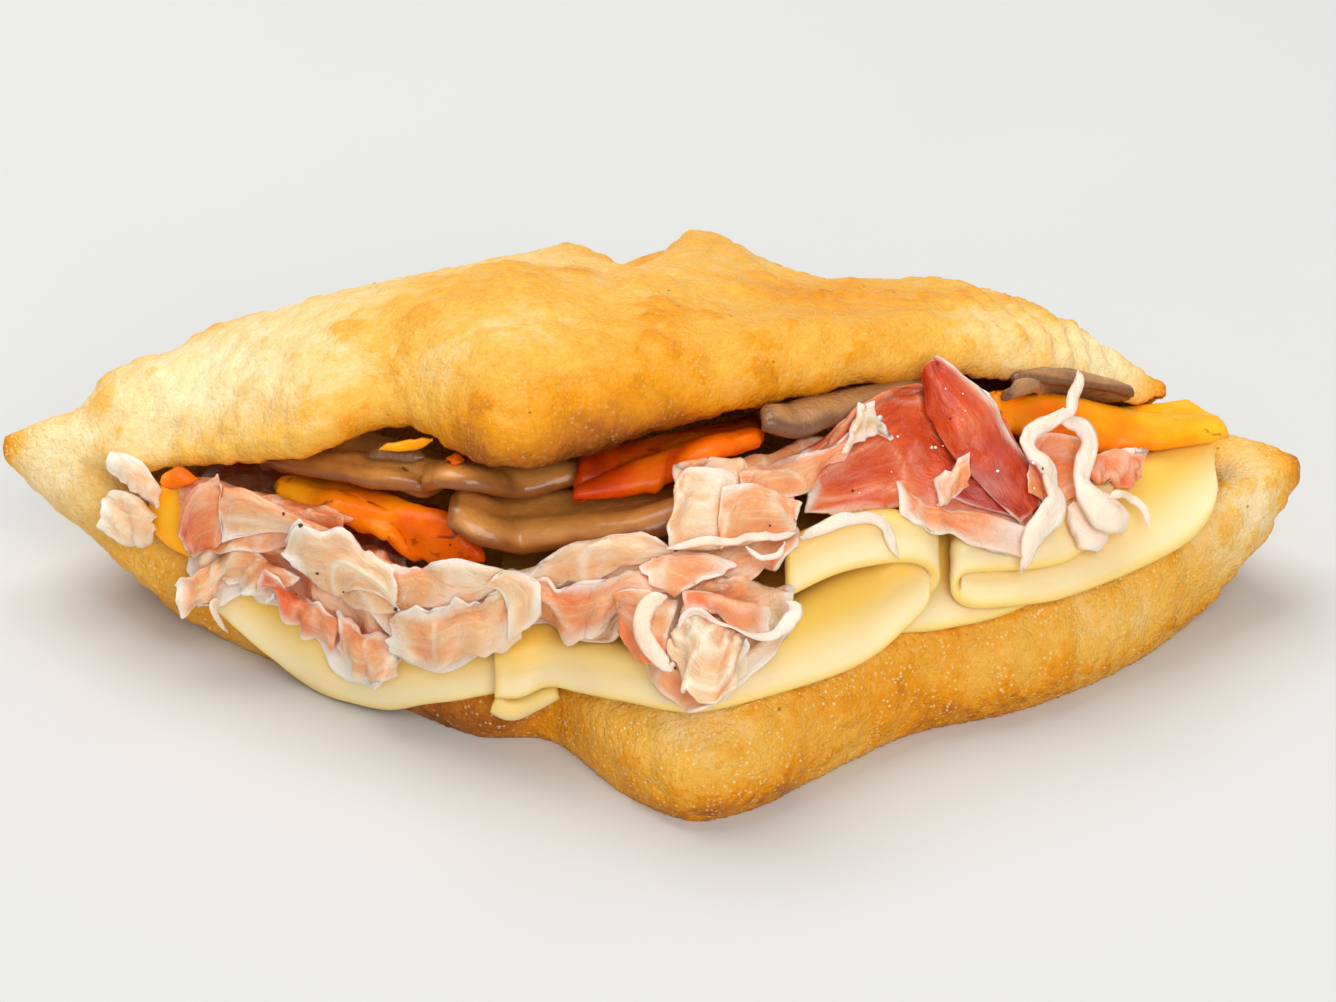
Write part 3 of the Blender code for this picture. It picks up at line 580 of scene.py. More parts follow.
class SliceLook(bpy.types.PropertyGroup):
    """Thicknesses and colours of the filling."""

    cheese: length_of("Cheese thickness", "How thick a cheese slice is", 1.6)
    ham: length_of("Ham thickness", "How thick a ham slice is", 0.45)
    fat: length_of("Fat thickness", "How thick a strand of ham fat is", 1.5)
    pepper: length_of("Pepper thickness", "How thick a pepper strip is", 2.4)
    mushroom: length_of("Mushroom thickness", "How thick a mushroom slice is", 3.2)
    curd: colour_of("Cheese", "The face of a slice", "FFE3B2")
    meat: colour_of("Pale ham", "Where a slice is thin", "FFAE78")
    lean: colour_of("Lean ham", "Where a slice is thick and dark", "B82C0A")
    white: colour_of("Ham fat", "Rims and strands", "FFEEDE")
    ripe: colour_of("Red pepper", "The darkest strips", "E04A02")
    sweet: colour_of("Yellow pepper", "The lightest strips", "FFA60E")
    cut: colour_of("Mushroom face", "The cut face of a slice", "DE9846")
    skin: colour_of("Mushroom skin", "The skin round a slice", "A66128")


class StageLook(bpy.types.PropertyGroup):
    """Where the camera stands, and how strong the lights are."""

    distance: length_of("Camera distance", "From the camera to the middle of the view", 515)
    height: FloatProperty(
        name="Camera height", description="Angle of the camera above the floor",
        default=math.radians(30), subtype="ANGLE",
    )  # fmt: skip
    lens: FloatProperty(
        name="Lens", description="Focal length", default=100, min=1, unit="CAMERA", subtype="DISTANCE_CAMERA"
    )
    key: FloatProperty(name="Top light", description="Power of the light above", default=8.4, subtype="POWER")
    fill: FloatProperty(name="Front light", description="Power of the light in front", default=6.6, subtype="POWER")
    sky: FloatProperty(name="Room light", description="Light from all round", default=0.48, min=0)


def look():
    """The sizes and colours that the user sets."""
    return bpy.context.scene


def add(tree, kind, inputs=(), stops=(), **own):
    """Adds a node: its own settings, the stops of its ramp, and each input as a value or as a link."""
    node = tree.nodes.new("ShaderNode" + kind)
    for key, value in own.items():
        setattr(node, key, value)
    if stops:
        ramp = node.color_ramp.elements
        ramp.remove(ramp[1])
        ramp[0].position, ramp[0].color = stops[0]
        for place, colour in stops[1:]:
            ramp.new(place).color = colour
    for key, value in dict(inputs).items():
        if isinstance(value, bpy.types.NodeSocket):
            tree.links.new(value, node.inputs[key])
        else:
            node.inputs[key].default_value = value
    return node


def new_finish(name, sockets):
    """A material with one shader, whose own sockets take the values that are the same all over."""
    material = bpy.data.materials.new(name)
    material.use_nodes = True
    shader = material.node_tree.nodes["Principled BSDF"]
    for key, value in sockets.items():
        shader.inputs[key].default_value = value
    return material, material.node_tree, shader


def solid(colour):
    """A user's colour with full cover."""
    return (*colour, 1.0)


def fried_dough():
    """Wheat dough fried in oil.

    Its colour runs from cream through gold to brown by how long it fried, and in places by painted shade and
    painted light. Its skin is dull, with a few soft highlights that fine grains break up, most of them on the tray;
    the grains' cream is partly painted glint.
    """
    dough = look().crescentina_dough
    material, tree, shader = new_finish("fried wheat dough", {
        "Specular IOR Level": 0.16, "IOR": 1.45, "Subsurface Weight": 0.1,
        "Subsurface Radius": (1.0, 0.55, 0.2), "Subsurface Scale": 0.002,
    })  # fmt: skip
    place = add(tree, "TexCoord").outputs["Object"]
    tone = add(tree, "Attribute", attribute_name="tone").outputs["Fac"]
    gritty = add(tree, "Attribute", attribute_name="gritty").outputs["Fac"]
    # mottling 4 mm across, and freckles 1.2 mm across
    mottle = add(tree, "TexNoise", {"Vector": place, "Scale": 250, "Detail": 3, "Roughness": 0.6})
    freckle = add(tree, "TexNoise", {"Vector": place, "Scale": 830, "Detail": 2, "Roughness": 0.6})
    change = add(tree, "Math", {0: mottle.outputs["Fac"], 1: -0.5}, operation="ADD").outputs[0]
    finer = add(tree, "Math", {0: freckle.outputs["Fac"], 1: -0.5}, operation="ADD").outputs[0]
    tone = add(tree, "Math", {0: change, 1: 0.32, 2: tone}, operation="MULTIPLY_ADD").outputs[0]
    tone = add(tree, "Math", {0: finer, 1: 0.16, 2: tone}, operation="MULTIPLY_ADD").outputs[0]
    ramp = add(tree, "ValToRGB", {"Fac": tone}, stops=(
        (0.05, solid(dough.pale)), (0.34, solid(dough.golden)), (0.56, solid(dough.amber)),
        (0.78, solid(dough.brown)), (1.0, solid(dough.dark)),
    ))  # fmt: skip
    # grains of flour 0.3 mm across that stayed pale, drawn 0.7 mm apart to show, crowded where the mottling is; their
    # cream is partly painted glint, the sparkle of oil on the grains
    grain = add(tree, "TexVoronoi", {"Vector": place, "Scale": 1500})
    light = add(tree, "ValToRGB", {"Fac": grain.outputs["Distance"]},
                stops=((0.1, (1, 1, 1, 1)), (0.4, (0, 0, 0, 1))))  # fmt: skip
    chosen = add(tree, "Math", {0: grain.outputs["Color"], 1: 0.35}, operation="GREATER_THAN").outputs[0]
    light = add(tree, "Math", {0: light.outputs[0], 1: chosen}, operation="MULTIPLY").outputs[0]
    crowd = add(tree, "MapRange", {"Value": mottle.outputs["Fac"], 1: 0.42, 2: 0.62, 3: 0.12, 4: 0.95}).outputs[0]
    crowd = add(tree, "Math", {0: crowd, 1: gritty}, operation="MULTIPLY").outputs[0]
    share = add(tree, "Math", {0: light, 1: crowd}, operation="MULTIPLY").outputs[0]
    colour = add(tree, "Mix", {0: share, 6: ramp.outputs[0], 7: linear("FFE3A4")}, data_type="RGBA").outputs[2]
    # a few dark specks, 6 mm apart
    speck = add(tree, "TexVoronoi", {"Vector": place, "Scale": 170}).outputs["Distance"]
    dark = add(tree, "ValToRGB", {"Fac": speck}, stops=((0.03, (1, 1, 1, 1)), (0.055, (0, 0, 0, 1))))
    dark = add(tree, "Math", {0: dark.outputs[0], 1: 0.6}, operation="MULTIPLY").outputs[0]
    colour = add(tree, "Mix", {0: dark, 6: colour, 7: linear("5E3510")}, data_type="RGBA").outputs[2]
    tree.links.new(colour, shader.inputs["Base Color"])
    rough = add(tree, "MapRange", {"Value": freckle.outputs["Fac"], 1: 0.3, 2: 0.7, 3: 0.3, 4: 0.55}).outputs[0]
    rough = add(tree, "Math", {0: light, 1: -0.2, 2: rough}, operation="MULTIPLY_ADD").outputs[0]
    tree.links.new(rough, shader.inputs["Roughness"])
    # crumbs of crust 0.7 mm across
    crumb = add(tree, "TexNoise", {"Vector": place, "Scale": 1400, "Detail": 2, "Roughness": 0.6})
    height = add(tree, "Math", {0: light, 1: 0.12, 2: crumb.outputs["Fac"]}, operation="MULTIPLY_ADD").outputs[0]
    coarse = add(tree, "Math", {0: gritty, 1: 0.8, 2: 0.3}, operation="MULTIPLY_ADD").outputs[0]
    height = add(tree, "Math", {0: height, 1: coarse}, operation="MULTIPLY").outputs[0]
    height = add(tree, "Math", {0: freckle.outputs["Fac"], 1: 0.8, 2: height}, operation="MULTIPLY_ADD").outputs[0]
    bump = add(tree, "Bump", {"Height": height, "Strength": 0.8, "Distance": 0.0006})
    tree.links.new(bump.outputs[0], shader.inputs["Normal"])
    return material


def pressed_curd():
    """Mild pressed cheese, cut by machine: even, a little translucent, satin, deeper in colour at its rind edge."""
    slices = look().crescentina_slices
    material, tree, shader = new_finish("mild pressed cheese", {
        "Specular IOR Level": 0.4, "IOR": 1.45, "Subsurface Weight": 0.5,
        "Subsurface Radius": (1.0, 0.7, 0.3), "Subsurface Scale": 0.003,
        "Coat Weight": 0.1, "Coat Roughness": 0.3,
    })  # fmt: skip
    place = add(tree, "Attribute", attribute_name="place").outputs["Vector"]
    # soft clouds 12 mm across, measured along the slice
    cloud = add(tree, "TexNoise", {"Vector": place, "Scale": 0.08, "Detail": 2})
    rim = add(tree, "SeparateXYZ", {0: place}).outputs[2]
    edge = add(tree, "MapRange", {"Value": rim, 1: 0.2, 2: 1.2, 3: 0.8, 4: 0.0}).outputs[0]
    warm = add(tree, "MapRange", {"Value": cloud.outputs["Fac"], 1: 0.35, 2: 0.7, 3: 0.0, 4: 0.4}).outputs[0]
    colour = add(tree, "Mix", {0: warm, 6: solid(slices.curd), 7: linear("FFD78E")}, data_type="RGBA").outputs[2]
    # a deeper yellow from 2.5 to 8 mm in from the hanging rim: painted glow, for the light that the translucent cheese
    # carries into its shaded folds and inside the pocket
    inward = add(tree, "SeparateXYZ", {0: place}).outputs[1]
    inward = add(tree, "MapRange", {"Value": inward, 1: 2.5, 2: 8.0, 3: 0.0, 4: 0.9}).outputs[0]
    colour = add(tree, "Mix", {0: inward, 6: colour, 7: linear("FFC646")}, data_type="RGBA").outputs[2]
    colour = add(tree, "Mix", {0: edge, 6: colour, 7: linear("F8CC68")}, data_type="RGBA").outputs[2]
    tree.links.new(colour, shader.inputs["Base Color"])
    # a grain 0.7 mm across
    fine = add(tree, "TexNoise", {"Vector": place, "Scale": 1.4, "Detail": 3})
    rough = add(tree, "MapRange", {"Value": fine.outputs["Fac"], 1: 0.3, 2: 0.7, 3: 0.3, 4: 0.42})
    tree.links.new(rough.outputs[0], shader.inputs["Roughness"])
    bump = add(tree, "Bump", {"Height": fine.outputs["Fac"], "Strength": 0.15, "Distance": 0.0003})
    tree.links.new(bump.outputs[0], shader.inputs["Normal"])
    return material


def cured_ham():
    """Dry-cured ham, shaved thin: moist, translucent, streaked with fat, so light glows in its folds."""
    slices = look().crescentina_slices
    material, tree, shader = new_finish("dry-cured ham", {
        "Specular IOR Level": 0.45, "IOR": 1.42, "Subsurface Weight": 0.5,
        "Subsurface Radius": (1.0, 0.65, 0.5), "Subsurface Scale": 0.0025,
        "Coat Weight": 0.2, "Coat Roughness": 0.25,
    })  # fmt: skip
    place = add(tree, "Attribute", attribute_name="place").outputs["Vector"]
    lean = add(tree, "Attribute", attribute_name="lean").outputs["Fac"]
    fat = add(tree, "Attribute", attribute_name="fat").outputs["Fac"]
    # muscle 7 mm wide and fibres 1.2 mm wide, drawn out three times along the slice
    drawn = add(tree, "Mapping", {"Vector": place, "Scale": (0.3, 1.0, 0.0)}).outputs[0]
    muscle = add(tree, "TexNoise", {"Vector": drawn, "Scale": 0.14, "Detail": 4, "Distortion": 1.2})
    fibre = add(tree, "TexNoise", {"Vector": drawn, "Scale": 0.85, "Detail": 3, "Distortion": 0.6})
    change = add(tree, "Math", {0: muscle.outputs["Fac"], 1: -0.5}, operation="ADD").outputs[0]
    depth = add(tree, "Math", {0: change, 1: 0.65, 2: lean}, operation="MULTIPLY_ADD").outputs[0]
    change = add(tree, "Math", {0: fibre.outputs["Fac"], 1: -0.5}, operation="ADD").outputs[0]
    depth = add(tree, "Math", {0: change, 1: 0.35, 2: depth}, operation="MULTIPLY_ADD").outputs[0]
    meat = add(tree, "ValToRGB", {"Fac": depth}, stops=(
        (0.0, linear("FFD2A8")), (0.25, solid(slices.meat)), (0.5, linear("FC8850")),
        (0.75, linear("E85622")), (1.0, solid(slices.lean)),
    )).outputs[0]  # fmt: skip
    # threads of fat between the muscles, 9 mm apart
    vein = add(tree, "TexNoise", {"Vector": drawn, "Scale": 0.11, "Detail": 2, "Distortion": 2.0}).outputs["Fac"]
    vein = add(tree, "Math", {0: vein, 1: -0.5}, operation="ADD").outputs[0]
    vein = add(tree, "Math", {0: vein}, operation="ABSOLUTE").outputs[0]
    vein = add(tree, "MapRange", {"Value": vein, 1: 0.0, 2: 0.035, 3: 0.25, 4: 0.0}).outputs[0]
    pale = add(tree, "MapRange", {"Value": lean, 1: 0.2, 2: 0.8, 3: 1.0, 4: 0.25}).outputs[0]
    vein = add(tree, "Math", {0: vein, 1: pale}, operation="MULTIPLY").outputs[0]
    fat = add(tree, "Math", {0: fat, 1: vein}, operation="MAXIMUM").outputs[0]
    # clouds of fat 10 mm across
    cloud = add(tree, "TexNoise", {"Vector": place, "Scale": 0.1, "Detail": 4, "Distortion": 0.8}).outputs["Fac"]
    cloud = add(tree, "MapRange", {"Value": cloud, 1: 0.52, 2: 0.72, 3: 0.0, 4: 0.55}).outputs[0]
    cloud = add(tree, "Math", {0: cloud, 1: pale}, operation="MULTIPLY").outputs[0]
    fat = add(tree, "Math", {0: fat, 1: cloud}, operation="MAXIMUM").outputs[0]
    colour = add(tree, "Mix", {0: fat, 6: meat, 7: solid(slices.white)}, data_type="RGBA").outputs[2]
    tree.links.new(colour, shader.inputs["Base Color"])
    rough = add(tree, "MapRange", {"Value": fibre.outputs["Fac"], 1: 0.3, 2: 0.7, 3: 0.24, 4: 0.42})
    tree.links.new(rough.outputs[0], shader.inputs["Roughness"])
    # crimps 2 mm across
    crimp = add(tree, "TexNoise", {"Vector": place, "Scale": 0.55, "Detail": 3, "Distortion": 0.8}).outputs["Fac"]
    height = add(tree, "Math", {0: crimp, 1: 1.6, 2: fibre.outputs["Fac"]}, operation="MULTIPLY_ADD").outputs[0]
    bump = add(tree, "Bump", {"Height": height, "Strength": 0.5, "Distance": 0.0007})
    tree.links.new(bump.outputs[0], shader.inputs["Normal"])
    return material


def cooked_mushroom(name, cut, skin, wrinkled):
    """Button mushroom, sliced and cooked in oil: a soft tan face inside a glossy brown skin, wrinkled by the grill."""
    material, tree, shader = new_finish(name, {
        "Specular IOR Level": 0.5, "IOR": 1.42, "Subsurface Weight": 0.2,
        "Subsurface Radius": (1.0, 0.75, 0.5), "Subsurface Scale": 0.002,
        "Coat Weight": 0.45, "Coat Roughness": 0.12,
    })  # fmt: skip
    place = add(tree, "TexCoord").outputs["Object"]
    skinned = add(tree, "Attribute", attribute_name="skin").outputs["Fac"]
    # stains 5 mm across and wrinkles 1 mm across
    stain = add(tree, "TexNoise", {"Vector": place, "Scale": 200, "Detail": 4, "Distortion": 0.8})
    wrinkle = add(tree, "TexNoise", {"Vector": place, "Scale": 1000, "Detail": 3})
    shade = add(tree, "MapRange", {"Value": stain.outputs["Fac"], 1: 0.35, 2: 0.7, 3: 0.0, 4: 0.6}).outputs[0]
    face = add(tree, "Mix", {0: shade, 6: cut, 7: skin}, data_type="RGBA").outputs[2]
    deep = add(tree, "MapRange", {"Value": stain.outputs["Fac"], 1: 0.3, 2: 0.65, 3: 0.0, 4: 0.5}).outputs[0]
    rind = add(tree, "Mix", {0: deep, 6: skin, 7: linear("6E4220")}, data_type="RGBA").outputs[2]
    colour = add(tree, "Mix", {0: skinned, 6: face, 7: rind}, data_type="RGBA").outputs[2]
    tree.links.new(colour, shader.inputs["Base Color"])
    rough = add(tree, "MapRange", {"Value": wrinkle.outputs["Fac"], 1: 0.3, 2: 0.7, 3: 0.25, 4: 0.45})
    tree.links.new(rough.outputs[0], shader.inputs["Roughness"])
    bump = add(tree, "Bump", {"Height": wrinkle.outputs["Fac"], "Strength": wrinkled, "Distance": 0.0004})
    tree.links.new(bump.outputs[0], shader.inputs["Normal"])
    return material


def roasted_pepper():
    """Sweet pepper roasted and peeled: saturated, wet and glossy, with brown scorch marks."""
    slices = look().crescentina_slices
    material, tree, shader = new_finish("roasted sweet pepper", {
        "Specular IOR Level": 0.12, "IOR": 1.42, "Subsurface Weight": 0.2,
        "Subsurface Radius": (1.0, 0.4, 0.1), "Subsurface Scale": 0.002,
        "Coat Weight": 0.12, "Coat Roughness": 0.1,
    })  # fmt: skip
    place = add(tree, "TexCoord").outputs["Object"]
    ripe = add(tree, "Attribute", attribute_name="ripe").outputs["Fac"]
    # patches 6 mm across, scorch marks 3 mm across, and a skin of 0.8 mm pimples
    patch = add(tree, "TexNoise", {"Vector": place, "Scale": 160, "Detail": 3})
    scorch = add(tree, "TexNoise", {"Vector": place, "Scale": 330, "Detail": 4, "Distortion": 1.0})
    pimple = add(tree, "TexNoise", {"Vector": place, "Scale": 1200, "Detail": 2})
    change = add(tree, "Math", {0: patch.outputs["Fac"], 1: -0.5}, operation="ADD").outputs[0]
    ripe = add(tree, "Math", {0: change, 1: 0.7, 2: ripe}, operation="MULTIPLY_ADD").outputs[0]
    flesh = add(tree, "ValToRGB", {"Fac": ripe}, stops=(
        (0.0, linear("FFC02A")), (0.25, solid(slices.sweet)), (0.55, linear("FA7C04")),
        (0.8, solid(slices.ripe)), (1.0, linear("9A2A02")),
    )).outputs[0]  # fmt: skip
    burnt = add(tree, "MapRange", {"Value": scorch.outputs["Fac"], 1: 0.64, 2: 0.72, 3: 0.0, 4: 0.75}).outputs[0]
    colour = add(tree, "Mix", {0: burnt, 6: flesh, 7: linear("5A1C06")}, data_type="RGBA").outputs[2]
    tree.links.new(colour, shader.inputs["Base Color"])
    rough = add(tree, "MapRange", {"Value": scorch.outputs["Fac"], 1: 0.3, 2: 0.7, 3: 0.18, 4: 0.42})
    tree.links.new(rough.outputs[0], shader.inputs["Roughness"])
    bump = add(tree, "Bump", {"Height": pimple.outputs["Fac"], "Strength": 0.3, "Distance": 0.0003})
    tree.links.new(bump.outputs[0], shader.inputs["Normal"])
    return material


def crushed(name, dark, pale, rough):
    """Something crushed to grains, such as peppercorn or salt: each grain its own shade between two."""
    material, tree, shader = new_finish(name, {"Roughness": rough, "IOR": 1.5})
    place = add(tree, "TexCoord").outputs["Object"]
    # shades 0.7 mm across, so that each grain has its own
    shade = add(tree, "TexNoise", {"Vector": place, "Scale": 1500, "Detail": 2}).outputs["Fac"]
    colour = add(tree, "Mix", {0: shade, 6: dark, 7: pale}, data_type="RGBA").outputs[2]
    tree.links.new(colour, shader.inputs["Base Color"])
    return material


def matt_card():
    """Pale card on a table: matt, with the faintest unevenness."""
    material, tree, shader = new_finish("pale matt card", {"Roughness": 0.85, "Specular IOR Level": 0.2})
    place = add(tree, "TexCoord").outputs["Object"]
    # unevenness 60 mm across
    cloud = add(tree, "TexNoise", {"Vector": place, "Scale": 16, "Detail": 2}).outputs["Fac"]
    colour = add(tree, "Mix", {0: cloud, 6: linear("D2D3D1"), 7: linear("D6D7D5")}, data_type="RGBA").outputs[2]
    tree.links.new(colour, shader.inputs["Base Color"])
    return material


def finish(maker, *values):
    """The material of a kind, made the first time that it is asked for."""
    key = (maker.__name__, values[0] if values else "")
    if key not in made:
        made[key] = maker(*values)
    return made[key]


made = {}


def tube(rings):
    """Points and faces of a closed skin over a row of rings, each end closed to the ring's middle."""
    points = np.concatenate([rings.reshape(-1, 3), rings[[0, -1]].mean(axis=1)])
    return points, tube_faces(*rings.shape[:2])


def dough_rings():
    """Close rings of the tray and of the flap, in millimetres."""
    tray = np.array([tray_section(x) for x in np.linspace(-TIP, TIP, TRAY_RINGS)])
    tray[..., 2] = np.where(tray[..., 2] < FLAT, 0.0, tray[..., 2])
    flap = np.array([flap_section(x) for x in np.linspace(FLAP_START, FLAP_END, FLAP_RINGS)])
    return tray, flap


def grown_together(skins, cube):
    """The points, normals and faces of one skin round several, rebuilt from cubes and then smoothed."""
    points, faces, start = [], [], 0
    for skin_points, skin_faces in skins:
        points.append(skin_points)
        faces += [[start + corner for corner in face] for face in skin_faces]
        start += len(skin_points)
    mesh = bpy.data.meshes.new("blank")
    mesh.from_pydata((np.concatenate(points) * MM).tolist(), [], faces)
    blank = bpy.data.objects.new("blank", mesh)
    bpy.context.scene.collection.objects.link(blank)
    cubes = blank.modifiers.new("cubes", "REMESH")
    cubes.mode = "VOXEL"
    cubes.voxel_size = cube
    smooth = blank.modifiers.new("smooth", "SMOOTH")
    smooth.factor = 0.5
    smooth.iterations = 6
    view = bpy.context.evaluated_depsgraph_get()
    done = blank.evaluated_get(view).to_mesh()
    count = len(done.vertices)
    place = np.empty(count * 3)
    normal = np.empty(count * 3)
    corners = np.empty(len(done.loops), int)
    done.vertices.foreach_get("co", place)
    done.vertices.foreach_get("normal", normal)
    done.loops.foreach_get("vertex_index", corners)
    sizes = np.empty(len(done.polygons), int)
    done.polygons.foreach_get("loop_total", sizes)
    faces = np.split(corners, np.cumsum(sizes)[:-1])
    blank.evaluated_get(view).to_mesh_clear()
    bpy.data.objects.remove(blank)
    bpy.data.meshes.remove(mesh)
    return place.reshape(-1, 3) / MM, normal.reshape(-1, 3), [face.tolist() for face in faces]


# How much browner (paler where negative) the dough is round a spot, with its reach in mm along X, Y and Z
FLAP_TONES = (
    # the first, paler on the flap's top left, is a painted highlight where the light above falls brightest
    (-0.30, (-62, -4, 34), (22, 20, 20)), (-0.32, (62, 2, 32), (16, 12, 10)), (0.18, (22, 2, 40), (18, 16, 12)),
    (-0.16, (42, -4, 39), (12, 12, 8)), (0.14, (-50, -18, 32), (12, 8, 6)), (0.34, (0, -28, 38), (18, 8, 5)),
    # the one at (-35, -20, 37) is painted shade, in the hollow of the flap's notch
    (0.12, (-58, -14, 27), (10, 8, 5)), (0.18, (-35, -20, 37), (9, 6, 4)), (0.46, (-15, -34, 39), (17, 9, 8)),
)  # fmt: skip
TRAY_TONES = (
    # the one at (-26, -38, 3) is painted shade, where the tray's left foot sits in its contact shadow
    (0.16, (38, -40, 10), (14, 9, 8)), (-0.08, (62, -24, 10), (9, 8, 8)), (0.26, (-26, -38, 3), (16, 8, 7)),
    (-0.12, (3, -56, 9), (9, 8, 5)),
)  # fmt: skip
TIP_TONES = (
    (-0.26, (-83, -4, 22), (7, 9, 8)), (-0.26, (80, -8, 14), (10, 9, 9)),
    (0.40, (-90, 0, 22), (3.5, 4, 5)), (0.34, (90, 0, 19), (3.5, 5, 5)),
)  # fmt: skip


def domes(points, apart, reach, seed):
    """Half balls from 0 to 1 round spots this far apart: sqrt(1 - (distance / reach)^2), in sizes of a cell."""
    return np.sqrt(np.clip(1 - (spots(points, apart, seed) / reach) ** 2, 0, 1))


def ridges(points, every, warp):
    """Waves from -1 to 1, one every so many mm along the points, which are warped by a noise in mm."""
    return np.sin(2 * math.pi * (points + warp) / every)


def crust_relief(points, normals, dough):
    """How far each point of the crust stands out along its normal, in mm, how brown it is and how gritty.

    Broad lumps, domed blisters, beads, pits and grain are added up, with pleats at the flap's right end, ribs on
    the tray's right wall and crumbs along its foot. They fade under the slices and on the ground. Rims, peaks
    and tips are browner. Painted shade makes the pocket's roof, the notch's hollow and the tray's left foot
    browner too, and painted light makes the flap's top left and the roof behind the notch paler. The last number
    of each noise and dome is its seed, the one before it a size in mm.
    """
    x, y, z = points.T
    along = x[:, None]
    lip_y, lip_z = on_rail(LIP, x)
    rim_y, rim_z = on_rail(RIM, x)
    edge_y, edge_z = on_rail(EDGE, x)
    halfway = (lip_z + rim_z) / 2
    on_flap = (z > halfway) & (x > FLAP_START) & (x < FLAP_END)
    on_tray = ~on_flap

    # what the slices and the ground hide
    inward = (normals[:, 2] < 0.1) * (1 - step_up(normals[:, 1], 0, 0.3))
    under_flap = inward * step_up(y, lip_y + 2, lip_y + 6) * (z > 14) * (y < 45)
    on_floor = on_tray * step_up(y, rim_y + 0.5, rim_y + 2.5) * step_up(normals[:, 2], 0.1, 0.4)
    on_floor = on_floor * (1 - step_up(x, 72, 79))
    free = (1 - 0.85 * np.maximum(under_flap, on_floor)) * step_up(z, 0.4, 4)

    # relief
    lump = noise(points, 15, 1) + 0.5 * noise(points, 8, 2)
    blister = domes(points, 7.0, 0.5, 5) + 0.55 * domes(points, 3.4, 0.5, 6) - 0.5 * domes(points, 9.0, 0.13, 8)
    grain = noise(points, 2.1, 3) + 0.7 * noise(points, 1.2, 4)
    height = (dough.lump * lump + dough.blister * blister + dough.grain * grain) / MM
    pleated = np.where(on_flap, around(along, [53], [11]), 0) * step_up(y, lip_y - 2, lip_y + 3)
    pleat = ridges(x + 0.35 * y, 3.5, 1.6 * noise(points, 7, 14)) * pleated
    wall = on_tray * step_up(-y, -10, 2) * step_up(z, 1, 5)
    rib = ridges(x, 7.5, 1.5 * noise(points, 12, 9)) * wall * around(along, [48], [26])
    bulge = np.where(on_flap, around(along, [5], [30]), 0) * noise(points * [1, 0.4, 0.5], 5.5, 12)
    crumbs = on_tray * (0.4 + 0.6 * around(along, [58], [34])) * around(z[:, None], [2.5], [3.5])
    crumbs = crumbs * domes(points, 1.8, 0.5, 31)
    height = height + 0.45 * pleat + 0.3 * rib + 0.45 * bulge + 0.9 * crumbs

    # grit, on the tray above all
    above = step_up(z - halfway, -4, 4) * step_up(x, FLAP_START - 3, FLAP_START + 6)
    gritty = 1 - 0.7 * above * (1 - step_up(x, FLAP_END - 4, FLAP_END + 4))

    # brownness: mottling, spots, then the ragged edge over the back, the lip and the peaks, with painted shade and
    # painted light in places
    fried_and_painted_light = np.where(on_flap, 0.36, 0.37) + 0.10 * noise(points, 22, 21)
    fried_and_painted_light = fried_and_painted_light + np.where(on_flap, 0.06, 0.12) * noise(points, 9, 22)
    for tones, where in ((FLAP_TONES, on_flap), (TRAY_TONES, on_tray), (TIP_TONES, 1)):
        for tone, spot, reach in tones:
            fried_and_painted_light = fried_and_painted_light + tone * where * around(points, spot, reach)
    # browner crumbs, darker towards the ground, and painted shade on the tray's left part
    fried_and_painted_light = fried_and_painted_light + 0.12 * crumbs + 0.12 * on_tray * (1 - step_up(z, 1, 11) + around(along, [-34], [20]))
    crisp = 0.12 + 0.3 * around(along, [-15], [6]) + 0.3 * around(along, [6], [6]) + 0.25 * around(along, [66], [7])
    by_edge = np.exp(-(((y - edge_y) / 3.5) ** 2) - ((z - edge_z) / 3.5) ** 2) * on_flap
    fried_and_painted_light = fried_and_painted_light + by_edge * crisp * (0.7 + 0.6 * noise(points, 5, 23))
    by_lip = np.exp(-(((y - lip_y) / 3) ** 2) - ((z - lip_z) / 3) ** 2) * on_flap
    fried_and_painted_light = fried_and_painted_light + 0.12 * by_lip + 0.10 * (height > 0.8) + 0.05 * np.clip(height, -1, 1.5)
    # painted shade: the pocket's roof under the flap is browner; painted light: it is paler just behind the notch,
    # where it shows
    fried_and_painted_light = fried_and_painted_light + (0.4 - 0.62 * around(along, [-35], [11])) * under_flap
    return height * free, np.clip(fried_and_painted_light, 0.02, 1), gritty


class CRESCENTINA_OT_dough(bpy.types.Operator):
    """Makes the fried dough: a tray and a domed flap that meet along the back, with their blistered skin"""

    bl_idname = "crescentina.dough"
    bl_label = "Fried dough"

    def execute(self, context):
        dough = look().crescentina_dough
        tray, flap = dough_rings()
        points, normals, faces = grown_together([tube(tray), tube(flap)], dough.cube)
        height, fried_and_painted_light, gritty = crust_relief(points, normals, dough)
        points = points + normals * height[:, None]
        points[:, 2] = np.where(points[:, 2] < GROUNDED, 0.0, points[:, 2])
        piece("dough_shell", points, faces, finish(fried_dough), "fried_dough", ("crust",),
              tone=fried_and_painted_light, gritty=gritty)  # fmt: skip
        pile.add(np.concatenate([tray, tray[:, :1]], axis=1), 2)
        # the finished skin counts too, up to just over the tray's rim
        rim_y, rim_z = on_rail(RIM, points[:, 0])
        pile.add_points(points[(points[:, 2] < rim_z + 1.5) & (points[:, 1] < rim_y + 4)])
        return {"FINISHED"}


def ruffled(grid, sizes, ruffles, seed):
    """Waves along a slice, given as (how many, mm high), that fade away across it.

    They are height * sin(2 pi waves share) * (1 - v)^1.5, with the share warped a little.
    """
    waves, height = ruffles
    share, fade = grid[..., 0] / sizes[0][-1], (1 - grid[..., 1] / sizes[1][-1]) ** 1.5
    return height * np.sin(2 * math.pi * (waves * share + 0.15 * np.sin(9 * share + seed)) + seed) * fade


